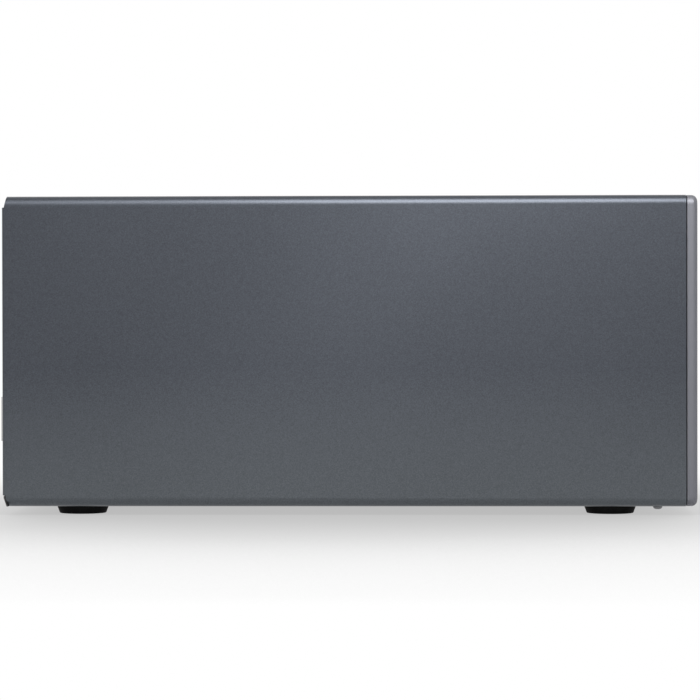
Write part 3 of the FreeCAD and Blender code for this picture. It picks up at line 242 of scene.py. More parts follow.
class Finish(Nodes):
    """One finish: a Principled shader, and the nodes that vary its colour, gloss and relief."""

    def __init__(self, name, colour, roughness, metallic=0.0):
        self.material = bpy.data.materials.new(name)
        self.material.use_nodes = True
        super().__init__(self.material.node_tree)
        self.shader = self.tree.nodes["Principled BSDF"]
        self.place = self.node("ShaderNodeTexCoord").outputs["Object"]
        self.set("Base Color", (*colour, 1.0))
        self.set("Roughness", roughness)
        self.set("Metallic", metallic)
        self.colour = colour
        self.material.diffuse_color = (*colour, 1.0)

    def set(self, socket, value):
        """Puts a constant on the shader's own socket."""
        self.shader.inputs[socket].default_value = value

    def stretched(self, stretch):
        """The object's own coordinates, squeezed along some axes."""
        if stretch == (1, 1, 1):
            return self.place
        mapping = self.node("ShaderNodeMapping")
        mapping.inputs["Scale"].default_value = stretch
        self.join(self.place, mapping.inputs["Vector"])
        return mapping.outputs["Vector"]

    def axis(self, name):
        """One of the object's own coordinates, in metres."""
        split = self.node("ShaderNodeSeparateXYZ")
        self.join(self.place, split.inputs[0])
        return split.outputs[name]

    def noise(self, size, detail=2.0, stretch=(1, 1, 1)):
        """Cloudy variation with features about this large, in mm."""
        made = self.node("ShaderNodeTexNoise")
        made.inputs["Scale"].default_value = 1.0 / (size * MM)
        made.inputs["Detail"].default_value = detail
        self.join(self.stretched(stretch), made.inputs["Vector"])
        return made.outputs["Fac"]

    def cells(self, size, feature="F1", output="Distance", stretch=(1, 1, 1)):
        """Cells about this large, in mm: their distance field, or one random shade for each."""
        made = self.node("ShaderNodeTexVoronoi", feature=feature)
        made.inputs["Scale"].default_value = 1.0 / (size * MM)
        self.join(self.stretched(stretch), made.inputs["Vector"])
        if output == "Distance":
            return made.outputs["Distance"]
        split = self.node("ShaderNodeSeparateColor")
        self.join(made.outputs["Color"], split.inputs["Color"])
        return split.outputs["Red"]

    def sum(self, first, second, weight=1.0):
        """first plus second times weight."""
        return self.math("MULTIPLY_ADD", second, weight, first)

    def shades(self, amount, dark, light):
        """The finish's own colour, varied from dark to light by an amount from 0 to 1."""
        return self.blend(amount, scaled(self.colour, dark), scaled(self.colour, light))

    def paint(self, colour):
        """Drives the base colour."""
        self.join(colour, self.shader.inputs["Base Color"])

    def gloss(self, value, smooth, rough):
        """Roughness from smooth to rough as the value goes from 0 to 1."""
        self.join(self.between(value, 0.0, 1.0, smooth, rough), self.shader.inputs["Roughness"])

    def relief(self, height, depth, strength):
        """Bump from a height of 0 to 1, this deep in mm."""
        made = self.node("ShaderNodeBump")
        made.inputs["Strength"].default_value = strength
        made.inputs["Distance"].default_value = depth * MM
        self.join(height, made.inputs["Height"])
        self.join(made.outputs["Normal"], self.shader.inputs["Normal"])


def scaled(colour, factor):
    """A colour made darker or lighter."""
    return tuple(min(1.0, channel * factor) for channel in colour)


# ---------------------------------------------------------------- finishes
def cover_paint(colours):
    """Metallic grey paint: fine flakes, a faint cloudiness, a light orange peel, and a painted lighter band low down
    that stands in for light reflected from the floor.
    """
    made = Finish("cover_paint", tuple(colours.cover), 0.42, 0.88)
    flakes = made.noise(0.55, 3.0)
    sparkle = made.cells(0.32, output="Shade")
    cloud = made.noise(60, 1.0)
    grain = made.sum(made.sum(flakes, sparkle, 0.35), cloud, 0.12)
    # Painted reflection: the paint turns lighter from 70 mm down to 6 mm above the floor, standing in for light
    # bounced up from the floor.
    painted_floor_bounce = made.between(made.axis("Z"), 70 * MM, 6 * MM)
    speckle = made.between(grain, 0.42, 1.02)
    red, green, blue = made.colour
    # The warmer tint of the painted floor reflection at the bottom of the cover.
    bounce_colour = (red * 1.03, green * 1.03, blue * 0.96)
    made.paint(made.blend(painted_floor_bounce, made.shades(speckle, 0.80, 1.22),
                          made.blend(speckle, scaled(bounce_colour, 1.21), scaled(bounce_colour, 1.81))))
    made.gloss(flakes, 0.32, 0.42)
    made.relief(made.sum(flakes, made.noise(1.6, 1.0), 0.6), 0.012, 0.5)
    return made.material


def anodised_plate(colours):
    """Blasted aluminium under a grey anodised layer."""
    made = Finish("anodised_plate", tuple(colours.bezel), 0.45, 0.55)
    blast = made.noise(0.35)
    made.paint(made.shades(made.sum(blast, made.noise(45, 1.0), 0.2), 0.86, 1.10))
    made.gloss(blast, 0.38, 0.52)
    made.relief(blast, 0.010, 0.5)
    return made.material


def galvanised(colours):
    """Zinc-coated sheet with faint spangles and rolling lines."""
    made = Finish("galvanised", tuple(colours.zinc), 0.4, 0.9)
    spangle = made.cells(9, output="Shade")
    rolling = made.noise(0.4, 2.0, (1, 0.04, 1))
    made.paint(made.shades(made.sum(spangle, rolling, 0.4), 0.82, 1.05))
    made.gloss(spangle, 0.30, 0.46)
    made.relief(rolling, 0.006, 0.4)
    return made.material


def filter_foam(colours):
    """Open-cell foam behind the intake slots, with painted shade in its pores."""
    made = Finish("filter_foam", (0.020, 0.020, 0.022), 0.9)
    pores = made.cells(1.3)
    # Painted shade: the colour is darker in the pits of the pores and lighter on the walls between them.
    made.paint(made.shades(made.between(pores, 0.0, 0.7), 0.3, 2.2))
    made.relief(pores, 0.9, 1.0)
    return made.material


def solder_mask(colours):
    """Green board: copper traces show through the mask as paler lines."""
    made = Finish("solder_mask", tuple(colours.mask), 0.3)
    across = made.cells(3.2, "DISTANCE_TO_EDGE", stretch=(1, 0.35, 1))
    along = made.cells(2.4, "DISTANCE_TO_EDGE", stretch=(0.35, 1, 1))
    traces = made.sum(*(made.between(edges, 0.03, 0.06, 1.0, 0.0) for edges in (across, along)))
    made.paint(made.shades(made.between(traces, 0.0, 1.0), 0.85, 1.75))
    made.gloss(made.noise(2), 0.24, 0.36)
    made.relief(traces, 0.03, 0.6)
    return made.material


def lead_sleeve(colours):
    """Grey insulation of a flat lead, with a line between its cores."""
    made = Finish("lead_sleeve", (0.20, 0.20, 0.215), 0.5)
    cores = made.node("ShaderNodeTexWave", wave_type="BANDS", bands_direction="X")
    cores.inputs["Scale"].default_value = 160.0
    made.join(made.place, cores.inputs["Vector"])
    made.paint(made.shades(made.noise(8), 0.85, 1.12))
    made.gloss(cores.outputs["Fac"], 0.40, 0.60)
    made.relief(cores.outputs["Fac"], 0.15, 0.7)
    return made.material


class Recipe(NamedTuple):
    """A finish that follows noises, where a noise is (size in mm, detail, stretch)."""
    colour: object              # in linear light, or the name of one of the panel's colours
    roughness: float
    metallic: float
    grain: tuple                # the noise that it all follows, unless cloud or skin say otherwise
    tone: tuple                 # shares of the colour, from dark to light
    gloss: tuple                # roughness, from smooth to rough
    relief: tuple               # depth in mm, strength
    cloud: tuple = ()           # the noise of the tone
    skin: tuple = ()            # the noise of the relief
    constants: dict = {}        # set on the shader's own sockets
    share: float = 1.0          # of the panel's colour


RECIPES = {
    # black powder coat with a fine pebbled skin
    "powder_coat": Recipe("powder", 0.5, 0, (0.7,), (0.8, 1.3), (0.42, 0.60), (0.03, 0.6), cloud=(20,)),
    # black moulding with a fine spark-eroded skin
    "spark_textured": Recipe("black", 0.5, 0, (0.30, 3.0), (0.85, 1.2), (0.40, 0.58), (0.018, 0.6), cloud=(25,)),
    # smoother black moulding of keys, doors and connectors
    "smooth_black": Recipe("black", 0.34, 0, (6,), (0.85, 1.15), (0.28, 0.40), (0.006, 0.4), skin=(0.8,), share=1.25),
    # glass-filled black plastic of the fan
    "fan_plastic": Recipe((0.016, 0.016, 0.017), 0.42, 0, (0.6, 3.0, (0.3, 1, 1)), (0.8, 1.35), (0.34, 0.52),
                          (0.010, 0.4)),
    # matt moulded rubber with a little dust
    "foot_rubber": Recipe("rubber", 0.75, 0, (0.5, 3.0), (0.7, 1.8), (0.62, 0.82), (0.020, 0.6), cloud=(5, 3.0),
                          constants={"Specular IOR Level": 0.06}),
    # bright tinned steel of connector shells
    "tinned": Recipe((0.48, 0.48, 0.47), 0.28, 1.0, (3, 3.0), (0.85, 1.05), (0.22, 0.38), (0.004, 0.3), skin=(0.3,)),
    # nickel-plated fastener steel
    "plated_steel": Recipe((0.44, 0.44, 0.42), 0.25, 1.0, (0.6, 3.0), (0.82, 1.08), (0.18, 0.36), (0.006, 0.4)),
    # black-chromated steel of the cover's screws
    "dark_steel": Recipe((0.15, 0.15, 0.155), 0.22, 1.0, (0.5, 3.0), (0.6, 1.5), (0.16, 0.32), (0.006, 0.4)),
    # ground posts, rollers and shafts, with fine rings from the wheel
    "ground_steel": Recipe((0.60, 0.60, 0.61), 0.18, 1.0, (0.25, 2.0, (0.05, 0.05, 1)), (0.9, 1.05), (0.12, 0.26),
                           (0.003, 0.3)),
    # drawn steel can of a small motor
    "drawn_can": Recipe((0.42, 0.42, 0.43), 0.32, 1.0, (0.5, 2.0, (1, 1, 0.05)), (0.88, 1.08), (0.26, 0.40),
                        (0.005, 0.4)),
    # die-cast aluminium with its dull, faintly mottled skin
    "cast_metal": Recipe((0.46, 0.47, 0.48), 0.5, 0.8, (7, 4.0), (0.82, 1.06), (0.42, 0.60), (0.015, 0.5),
                         skin=(0.5,)),
    # milled aluminium with tool lines
    "milled_metal": Recipe((0.60, 0.61, 0.62), 0.3, 0.95, (0.35, 1.0, (0.06, 1, 1)), (0.9, 1.05), (0.24, 0.38),
                           (0.006, 0.4)),
    # natural acetal of gears, arm and leader block
    "acetal": Recipe((0.66, 0.64, 0.58), 0.38, 0, (5,), (0.94, 1.03), (0.32, 0.44), (0.005, 0.3), skin=(0.6,),
                     constants={"Subsurface Weight": 0.08, "Subsurface Radius": (1.0 * MM, 0.9 * MM, 0.7 * MM)}),
    # grey glass-filled plastic of reel and chuck
    "reel_plastic": Recipe((0.055, 0.056, 0.062), 0.45, 0, (0.7, 3.0), (0.85, 1.2), (0.38, 0.52), (0.008, 0.4)),
    # lapped dark ceramic of the head
    "lapped_ceramic": Recipe((0.09, 0.085, 0.08), 0.16, 0, (0.4, 3.0), (0.8, 1.25), (0.10, 0.24), (0.002, 0.3)),
    # black epoxy of chips and headers
    "moulded_chip": Recipe((0.018, 0.018, 0.019), 0.55, 0, (0.25, 3.0), (0.8, 1.4), (0.48, 0.64), (0.010, 0.5)),
    # fired ferrite of cores and inductors
    "ferrite": Recipe((0.050, 0.050, 0.054), 0.6, 0, (0.5, 3.0), (0.8, 1.3), (0.52, 0.70), (0.015, 0.5)),
    # yellow polyester tape round a transformer's windings
    "winding_tape": Recipe((0.62, 0.42, 0.05), 0.35, 0, (1.1, 1.0, (0.1, 0.1, 1)), (0.84, 1.12), (0.28, 0.42),
                           (0.05, 0.5)),
    # enamelled copper wire
    "magnet_wire": Recipe((0.60, 0.24, 0.09), 0.3, 0.9, (1.5,), (0.85, 1.1), (0.22, 0.36), (0.004, 0.3), skin=(0.3,)),
    # dark blue shrink sleeve of a capacitor
    "can_sleeve": Recipe((0.012, 0.022, 0.075), 0.28, 0, (3,), (0.85, 1.15), (0.22, 0.34), (0.02, 0.4)),
    # gold-plated contacts
    "gold_plate": Recipe((0.80, 0.55, 0.20), 0.24, 1.0, (1.2,), (0.9, 1.05), (0.18, 0.32), (0.003, 0.3), skin=(0.3,)),
    # unlit frosted light pipe
    "light_pipe": Recipe((0.33, 0.36, 0.34), 0.35, 0, (0.5,), (0.85, 1.12), (0.28, 0.46), (0.008, 0.4),
                         constants={"Transmission Weight": 0.25}),
    # smoked window over the display
    "smoked_window": Recipe((0.010, 0.006, 0.007), 0.08, 0, (4,), (0.8, 1.3), (0.06, 0.14), (0.002, 0.2),
                            constants={"Coat Weight": 0.6, "Coat Roughness": 0.04}),
    # white filling of the marks on the rocker
    "switch_marks": Recipe((0.72, 0.72, 0.70), 0.45, 0, (0.5,), (0.88, 1.05), (0.38, 0.55), (0.006, 0.4)),
}


def noise_finish(name, colours):
    """The material of one of the recipes."""
    recipe = RECIPES[name]
    colour = recipe.colour
    if isinstance(colour, str):
        colour = scaled(tuple(getattr(colours, colour)), recipe.share)
    made = Finish(name, colour, recipe.roughness, recipe.metallic)
    for socket, value in recipe.constants.items():
        made.set(socket, value)
    grain = made.noise(*recipe.grain)
    made.paint(made.shades(made.noise(*recipe.cloud) if recipe.cloud else grain, *recipe.tone))
    made.gloss(grain, *recipe.gloss)
    made.relief(made.noise(*recipe.skin) if recipe.skin else grain, *recipe.relief)
    return made.material


OWN_FINISHES = {made.__name__: made for made in
                (cover_paint, anodised_plate, galvanised, filter_foam, solder_mask, lead_sleeve)}
FINISHES = {}


def finish(name):
    """The material of a finish, made once."""
    if name not in FINISHES:
        colours = bpy.context.scene.tape_drive_colours
        own = OWN_FINISHES.get(name)
        FINISHES[name] = own(colours) if own else noise_finish(name, colours)
    return FINISHES[name]


# ---------------------------------------------------------------- mesh helpers
def coat(node, finish_name, edge=None):
    """Gives a frame node its finish, welds its faces together and breaks its sharp edges."""
    piece = frame["nodes"][node]
    piece.data.materials.clear()
    piece.data.materials.append(finish(finish_name))
    for polygon in piece.data.polygons:
        polygon.material_index = 0
    weld = piece.modifiers.new("weld", "WELD")
    weld.merge_threshold = 0.002 * MM
    if edge:
        bevel = piece.modifiers.new("edges", "BEVEL")
        bevel.width = edge
        bevel.segments = 2
        bevel.limit_method = "ANGLE"
        bevel.angle_limit = math.radians(40)
    round_off(piece)


def round_off(piece, angle=35.0):
    """Smooth shading that stops at sharp edges."""
    for polygon in piece.data.polygons:
        polygon.use_smooth = True
    smooth = piece.modifiers.new("smooth", "NODES")
    smooth.node_group = smooth_group(angle)


def smooth_group(angle):
    """A geometry group that keeps edges sharper than this angle crisp."""
    name = "smooth_below_%d" % angle
    if name in bpy.data.node_groups:
        return bpy.data.node_groups[name]
    group = bpy.data.node_groups.new(name, "GeometryNodeTree")
    for way in ("INPUT", "OUTPUT"):
        group.interface.new_socket("Geometry", in_out=way, socket_type="NodeSocketGeometry")
    made = Nodes(group)
    limit = made.node("FunctionNodeCompare", data_type="FLOAT", operation="LESS_EQUAL")
    limit.inputs["B"].default_value = math.radians(angle)
    faces = made.node("GeometryNodeSetShadeSmooth")
    edges = made.node("GeometryNodeSetShadeSmooth", domain="EDGE")
    made.join(made.node("NodeGroupInput").outputs[0], faces.inputs["Geometry"])
    made.join(faces.outputs[0], edges.inputs["Geometry"])
    made.join(made.node("GeometryNodeInputMeshEdgeAngle").outputs["Unsigned Angle"], limit.inputs["A"])
    made.join(limit.outputs["Result"], edges.inputs["Shade Smooth"])
    made.join(edges.outputs[0], made.node("NodeGroupOutput").inputs[0])
    return group


def mesh_of(name, shape):
    """A bmesh turned into mesh data. The bmesh is used up."""
    data = bpy.data.meshes.new(name)
    shape.to_mesh(data)
    shape.free()
    return data


def stand(name, data):
    """A new object with this data, in the scene."""
    made = bpy.data.objects.new(name, data)
    bpy.context.scene.collection.objects.link(made)
    return made


def piece_from(name, shape, finish_name, body, stands_for=(), smooth=35.0):
    """Turns a bmesh into a piece that rides on a body and may stand for frame nodes."""
    bmesh.ops.recalc_face_normals(shape, faces=shape.faces)
    data = mesh_of(name, shape)
    data.materials.append(finish(finish_name))
    piece = stand(name, data)
    round_off(piece, smooth)
    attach(piece, body)
    if stands_for:
        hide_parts(*stands_for)


def turn_to(way):
    """The rotation that takes +Z to this way."""
    return Vector(way).to_track_quat("Z", "Y").to_matrix().to_4x4()


def lathe(shape, outline, at, way=UP, steps=64):
    """Adds a turned form: outline is a list of (radius, height) along way, closed on its axis or on itself."""
    place = Matrix.Translation(at) @ turn_to(way)
    closed = outline[0] == outline[-1]
    points = outline[:-1] if closed else outline
    rings = []
    for radius, height in points:
        if radius < 1e-7:
            rings.append([shape.verts.new(place @ Vector((0, 0, height)))])
        else:
            rings.append([shape.verts.new(place @ Vector((radius * math.cos(2 * math.pi * i / steps),
                                                           radius * math.sin(2 * math.pi * i / steps), height)))
                          for i in range(steps)])
    pairs = list(zip(rings, rings[1:])) + ([(rings[-1], rings[0])] if closed else [])
    for first, second in pairs:
        for i in range(steps):
            j = (i + 1) % steps
            corners = [first[i % len(first)], first[j % len(first)], second[j % len(second)], second[i % len(second)]]
            unique = list(dict.fromkeys(corners))
            if len(unique) > 2:
                shape.faces.new(unique)


def rounded(points, radius, steps=5):
    """A profile with the corners between its first and last points rounded."""
    made = [points[0]]
    for before, here, after in zip(points, points[1:], points[2:]):
        corner, back, ahead = Vector(here), Vector(before), Vector(after)
        reach = min(radius, (back - corner).length * 0.49, (ahead - corner).length * 0.49)
        start = corner + (back - corner).normalized() * reach
        end = corner + (ahead - corner).normalized() * reach
        for i in range(steps + 1):
            t = i / steps
            spot = start * (1 - t) ** 2 + corner * 2 * t * (1 - t) + end * t ** 2
            made.append((spot.x, spot.y))
    made.append(points[-1])
    return made


def bridge(shape, rings):
    """Joins each ring of corners to the next, and closes the two ends."""
    count = len(rings[0])
    for first, second in zip(rings, rings[1:]):
        for i in range(count):
            j = (i + 1) % count
            shape.faces.new((first[i], second[i], second[j], first[j]))
    shape.faces.new(rings[0])
    shape.faces.new(list(reversed(rings[-1])))


def brick(shape, low, high, edge=0.0, segments=2, matrix=None):
    """Adds a box between two corners, with its edges broken."""
    low, high = Vector(low), Vector(high)
    made = bmesh.ops.create_cube(shape, size=1.0)["verts"]
    bmesh.ops.scale(shape, vec=high - low, verts=made)
    bmesh.ops.translate(shape, vec=(low + high) / 2, verts=made)
    if edge > 0:
        edges = list({e for v in made for e in v.link_edges})
        made = bmesh.ops.bevel(shape, geom=edges + made, offset=edge, segments=segments, profile=0.5,
                               affect="EDGES")["verts"]
    if matrix:
        bmesh.ops.transform(shape, matrix=matrix, verts=list(set(made)))


def carve(target, cutter):
    """Cuts one bmesh out of another and returns what is left."""
    objects = []
    for shape in (target, cutter):
        bmesh.ops.recalc_face_normals(shape, faces=shape.faces)
        objects.append(stand("carve", mesh_of("carve", shape)))
    cut = objects[0].modifiers.new("cut", "BOOLEAN")
    cut.operation = "DIFFERENCE"
    cut.solver = "EXACT"
    cut.use_self = True
    cut.object = objects[1]
    graph = bpy.context.evaluated_depsgraph_get()
    left = bmesh.new()
    left.from_mesh(objects[0].evaluated_get(graph).to_mesh())
    for made in objects:
        data = made.data
        bpy.data.objects.remove(made)
        bpy.data.meshes.remove(data)
    return left


def copies(shape, places):
    """One bmesh with a copy of another at each place, a matrix."""
    data = mesh_of("copies", shape)
    whole = bmesh.new()
    for place in places:
        start = len(whole.verts)
        whole.from_mesh(data)
        whole.verts.ensure_lookup_table()
        bmesh.ops.transform(whole, matrix=place, verts=whole.verts[start:])
    bpy.data.meshes.remove(data)
    return whole


def package(body, leads, low, high, pitch=1.27 * MM, sides="xy"):
    """Adds a moulded chip to one bmesh, and its bent leads along the named sides to another."""
    low, high = Vector(low), Vector(high)
    reach = 0.9 * MM
    margin = Vector((reach if "x" in sides else 0, reach if "y" in sides else 0, 0))
    inner_low, inner_high = low + margin, high - margin
    brick(body, inner_low + Vector((0, 0, 0.15 * MM)), inner_high, 0.12 * MM)
    for axis, name in ((0, "x"), (1, "y")):
        if name not in sides:
            continue
        along = 1 - axis
        length = inner_high[along] - inner_low[along]
        count = int((length - 0.6 * MM) / pitch)
        for i in range(count):
            centre = inner_low[along] + length / 2 + (i - (count - 1) / 2) * pitch
            for side in (-1, 1):
                wall = inner_high[axis] if side > 0 else inner_low[axis]
                mid = (low.z + inner_high.z) / 2
                for near, far, bottom, top in ((-0.1, 0.35, mid - 0.1 * MM, mid + 0.1 * MM),
                                               (0.25, 0.45, low.z, mid + 0.1 * MM),
                                               (0.35, 0.9, low.z, low.z + 0.18 * MM)):
                    start, end = sorted((wall + side * near * MM, wall + side * far * MM))
                    corner_a, corner_b = [0, 0, bottom], [0, 0, top]
                    corner_a[axis], corner_b[axis] = start, end
                    corner_a[along], corner_b[along] = centre - pitch * 0.18, centre + pitch * 0.18
                    brick(leads, corner_a, corner_b)


def corners_of(node, radius):
    """Axes of the upright round pieces at the four corners of a node's box."""
    low, high, _ = span(node)
    return [(x, y) for x in (low.x + radius, high.x - radius) for y in (low.y + radius, high.y - radius)]


# ---------------------------------------------------------------- fasteners
def cross_recess(radius, top, depth):
    """The tapered cross of a screwdriver's recess, down from the top of a head."""
    cutter = bmesh.new()
    for turn in (0, 90):
        wide, thin = radius * 0.62, radius * 0.17
        rings = []
        for height, factor in ((top + 0.2 * MM, 1.06), (top - depth, 0.45)):
            spin = Matrix.Rotation(math.radians(turn), 4, "Z")
            rings.append([cutter.verts.new(spin @ Vector((a * wide * factor, b * thin, height)))
                          for a, b in ((-1, -1), (1, -1), (1, 1), (-1, 1))])
        bridge(cutter, rings)
    return cutter


def pan_head(radius, height, shank, length):
    """A round-headed screw with a domed head, cross recess and threaded shank. Its head stands along +Z."""
    head = bmesh.new()
    dome = rounded([(0, height), (radius * 0.55, height * 0.98), (radius * 0.93, height * 0.62), (radius, 0),
                    (shank, 0)], height * 0.35)
    lathe(head, dome + thread(shank, length), Vector(), steps=48)
    return carve(head, cross_recess(radius, height, height * 0.62))


def thread(radius, length):
    """The lower part of a screw's profile, with a ring for each turn of thread."""
    pitch = radius * 0.45
    points = []
    turns = int(length / pitch) - 1
    for i in range(turns):
        points += [(radius * 0.82, -pitch * (i + 0.25)), (radius, -pitch * (i + 0.75))]
    return points + [(radius * 0.7, -length), (0, -length)]


def hex_head(radius, height, shank, length):
    """A six-sided chassis screw with a flange, rounded corners and a cross recess."""
    head = bmesh.new()
    flange = height * 0.28
    rim = rounded([(0, flange), (radius * 0.98, flange), (radius, 0), (shank, 0)], flange * 0.4)
    lathe(head, rim + thread(shank, length), Vector(), steps=48)
    crown = bmesh.new()
    lathe(crown, rounded([(0, height), (radius * 0.90, height), (radius * 0.94, flange * 0.5), (0, flange * 0.5)],
                         height * 0.2), Vector(), steps=48)
    outside = bmesh.new()
    for i in range(6):
        turn = Matrix.Rotation(math.radians(60 * i), 4, "Z")
        brick(outside, (radius * 0.76, -radius * 2, -height), (radius * 2, radius * 2, height * 2), matrix=turn)
    crown = carve(crown, outside)
    crown = carve(crown, cross_recess(radius, height, height * 0.6))
    data = mesh_of("crown", crown)
    head.from_mesh(data)
    bpy.data.meshes.remove(data)
    return head


# ---------------------------------------------------------------- operators: outside of the box
class TAPE_DRIVE_OT_camera(bpy.types.Operator):
    """Stands the camera square to the long side of the box, a little towards its front end"""
    bl_idname = "tape_drive.camera"
    bl_label = "Camera"

    def execute(self, context):
        sizes = context.scene.tape_drive_sizes
        low, high = (Vector(corner) for corner in CAD_BOX)
        middle = (low + high) / 2
        aim = Vector((low.x, middle.y + sizes.aim_shift[0], middle.z + sizes.aim_shift[1]))
        swing, rise = sizes.camera_swing, sizes.camera_rise
        away = Vector((-math.cos(swing) * math.cos(rise), -math.sin(swing) * math.cos(rise), math.sin(rise)))
        data = bpy.data.cameras.new("camera")
        data.lens = data.sensor_width * sizes.camera_distance / sizes.view_width
        data.clip_start = 0.05
        data.clip_end = 60.0
        camera = stand("camera", data)
        camera.matrix_world = Matrix.Translation(aim + away * sizes.camera_distance) @ (
            (-away).to_track_quat("-Z", "Y").to_matrix().to_4x4() @ Matrix.Rotation(sizes.camera_tilt, 4, "Z"))
        context.scene.camera = camera
        return {"FINISHED"}


class TAPE_DRIVE_OT_box(bpy.types.Operator):
    """Paints the cover, and finishes the front plate and the sheet behind them"""
    bl_idname = "tape_drive.box"
    bl_label = "Cover, front plate and chassis"

    def execute(self, context):
        sizes = context.scene.tape_drive_sizes
        coat("outer_cover", "cover_paint", sizes.sheet_edge)
        coat("front_bezel", "anodised_plate", sizes.edge_break)
        coat("chassis", "powder_coat", sizes.sheet_edge)
        coat("drive_cage", "galvanised", sizes.sheet_edge)
        coat("dust_filter", "filter_foam")
        return {"FINISHED"}


class TAPE_DRIVE_OT_feet(bpy.types.Operator):
    """Turns the four rubber feet, each with a recess for its screw"""
    bl_idname = "tape_drive.feet"
    bl_label = "Rubber feet"

    def execute(self, context):
        lip = context.scene.tape_drive_sizes.foot_lip
        low, high, _ = span("rubber_feet")
        tip, recess, hole = 11.2 * MM, 5.2 * MM, 1.7 * MM
        shape = bmesh.new()
        flank = [(hole, high.z)] + rounded([(FOOT_RADIUS, high.z), (tip, low.z), (recess, low.z),
                                            (recess, FOOT_SEAT), (hole, FOOT_SEAT)], lip)
        for x, y in corners_of("rubber_feet", FOOT_RADIUS):
            lathe(shape, flank + [(hole, high.z)], Vector((x, y, 0)), steps=72)
        piece_from("foot_rubbers", shape, "foot_rubber", ENCLOSURE, ["rubber_feet"], smooth=50)
        return {"FINISHED"}


def seated(at, way, turn):
    """The place of a screw whose head stands along this way, with its recess turned."""
    return Matrix.Translation(at) @ turn_to(way) @ Matrix.Rotation(turn, 4, "Z")


class TAPE_DRIVE_OT_fasteners(bpy.types.Operator):
    """Makes the screws of the cover, the feet, the drive and the fan"""
    bl_idname = "tape_drive.fasteners"
    bl_label = "Screws"

    def execute(self, context):
        underside = span("outer_cover")[0].z
        radius = 2.3 * MM
        low, high, middle = span("cover_screws")
        places = [seated((x, middle.y, underside), DOWN, turn)
                  for x, turn in ((low.x + radius, 0.5), (high.x - radius, 0.2))]
        self.set_of("front_edge_screws", "cover_screws", "dark_steel", places,
                    pan_head(radius, underside - low.z, 1.2 * MM, high.z - underside))

        low, high, _ = span("foot_screws")
        places = [seated((x, y, FOOT_SEAT), DOWN, 0.7 * i)
                  for i, (x, y) in enumerate(corners_of("rubber_feet", FOOT_RADIUS))]
        self.set_of("foot_fixings", "foot_screws", "plated_steel", places,
                    pan_head(3.4 * MM, FOOT_SEAT - low.z, 1.4 * MM, high.z - FOOT_SEAT))

        low, high, middle = span("drive_screws")
        radius, head = 3.2 * MM, 1.6 * MM
        inset = radius * math.cos(math.radians(30))
        rows = [(side, wall, y) for side, wall in ((-1, low.x), (1, high.x)) for y in (low.y + inset, high.y - inset)]
        places = [seated((wall - side * head, y, middle.z), (side, 0, 0), 0.4 * i)
                  for i, (side, wall, y) in enumerate(rows)]
        self.set_of("drive_fixings", "drive_screws", "plated_steel", places,
                    hex_head(radius, head, 1.4 * MM, 3.6 * MM))

        low, high, middle = span("fan_screws")
        seat = span("fan_grille")[1].y
        off = 71.5 * MM / 2         # half the spacing of the holes in an 80 mm fan's corners
        places = [seated((middle.x + i * off, seat, middle.z + j * off), REARWARD, 0.9 * i + 0.35 * j)
                  for i in (-1, 1) for j in (-1, 1)]
        self.set_of("fan_fixings", "fan_screws", "plated_steel", places,
                    pan_head(3.9 * MM, high.y - seat, 1.9 * MM, seat - low.y))
        return {"FINISHED"}

    def set_of(self, name, node, finish_name, places, screw):
        """One piece with a screw at each place, for a node of screws."""
        piece_from(name, copies(screw, places), finish_name, ENCLOSURE, [node])


class TAPE_DRIVE_OT_face(bpy.types.Operator):
    """Finishes the drive's face: slot, flap, key, lamps, display and the blank of the lower bay"""
    bl_idname = "tape_drive.face"
    bl_label = "Front faces"

    def execute(self, context):
        edge = context.scene.tape_drive_sizes.edge_break
        coat("drive_bezel", "spark_textured", edge)
        coat("bay_blank", "spark_textured", edge)
        coat("slot_door", "smooth_black", edge * 0.6)
        coat("eject_button", "smooth_black", edge)
        coat("indicator_lenses", "light_pipe", edge)
        coat("display_window", "smoked_window", edge)
        return {"FINISHED"}


# ---------------------------------------------------------------- operators: rear end
def fan_blade(shape, centre, hub, tip, turn):
    """One swept and twisted blade with a rounded leading edge, about an axis along +Y."""
    stations, around = 9, 9
    rings = []
    for i in range(stations):
        t = i / (stations - 1)
        radius = hub + (tip - hub) * t
        pitch = math.radians(44 - 20 * t)
        chord = (16 + 6.5 * t) * MM
        sweep = 0.22 * t + 0.10 * t * t
        thick = (1.5 - 0.7 * t) * MM
        ring = []
        for side in (1, -1):
            for k in range(around):
                s = k / (around - 1) if side > 0 else 1 - k / (around - 1)
                if side < 0 and k in (0, around - 1):
                    continue
                along = (s - 0.5) * chord
                swell = thick * (math.sqrt(max(0.0, s * (1 - s))) * 0.9 + 0.05) * side * 0.5
                arch = 0.055 * chord * (1 - (2 * s - 1) ** 2)
                across = along * math.cos(pitch) - (swell + arch) * math.sin(pitch)
                depth = along * math.sin(pitch) + (swell + arch) * math.cos(pitch)
                angle = turn + sweep + across / radius
                spot = Vector((radius * math.cos(angle), depth, radius * math.sin(angle)))
                ring.append(shape.verts.new(centre + spot))
        rings.append(ring)
    bridge(shape, rings)


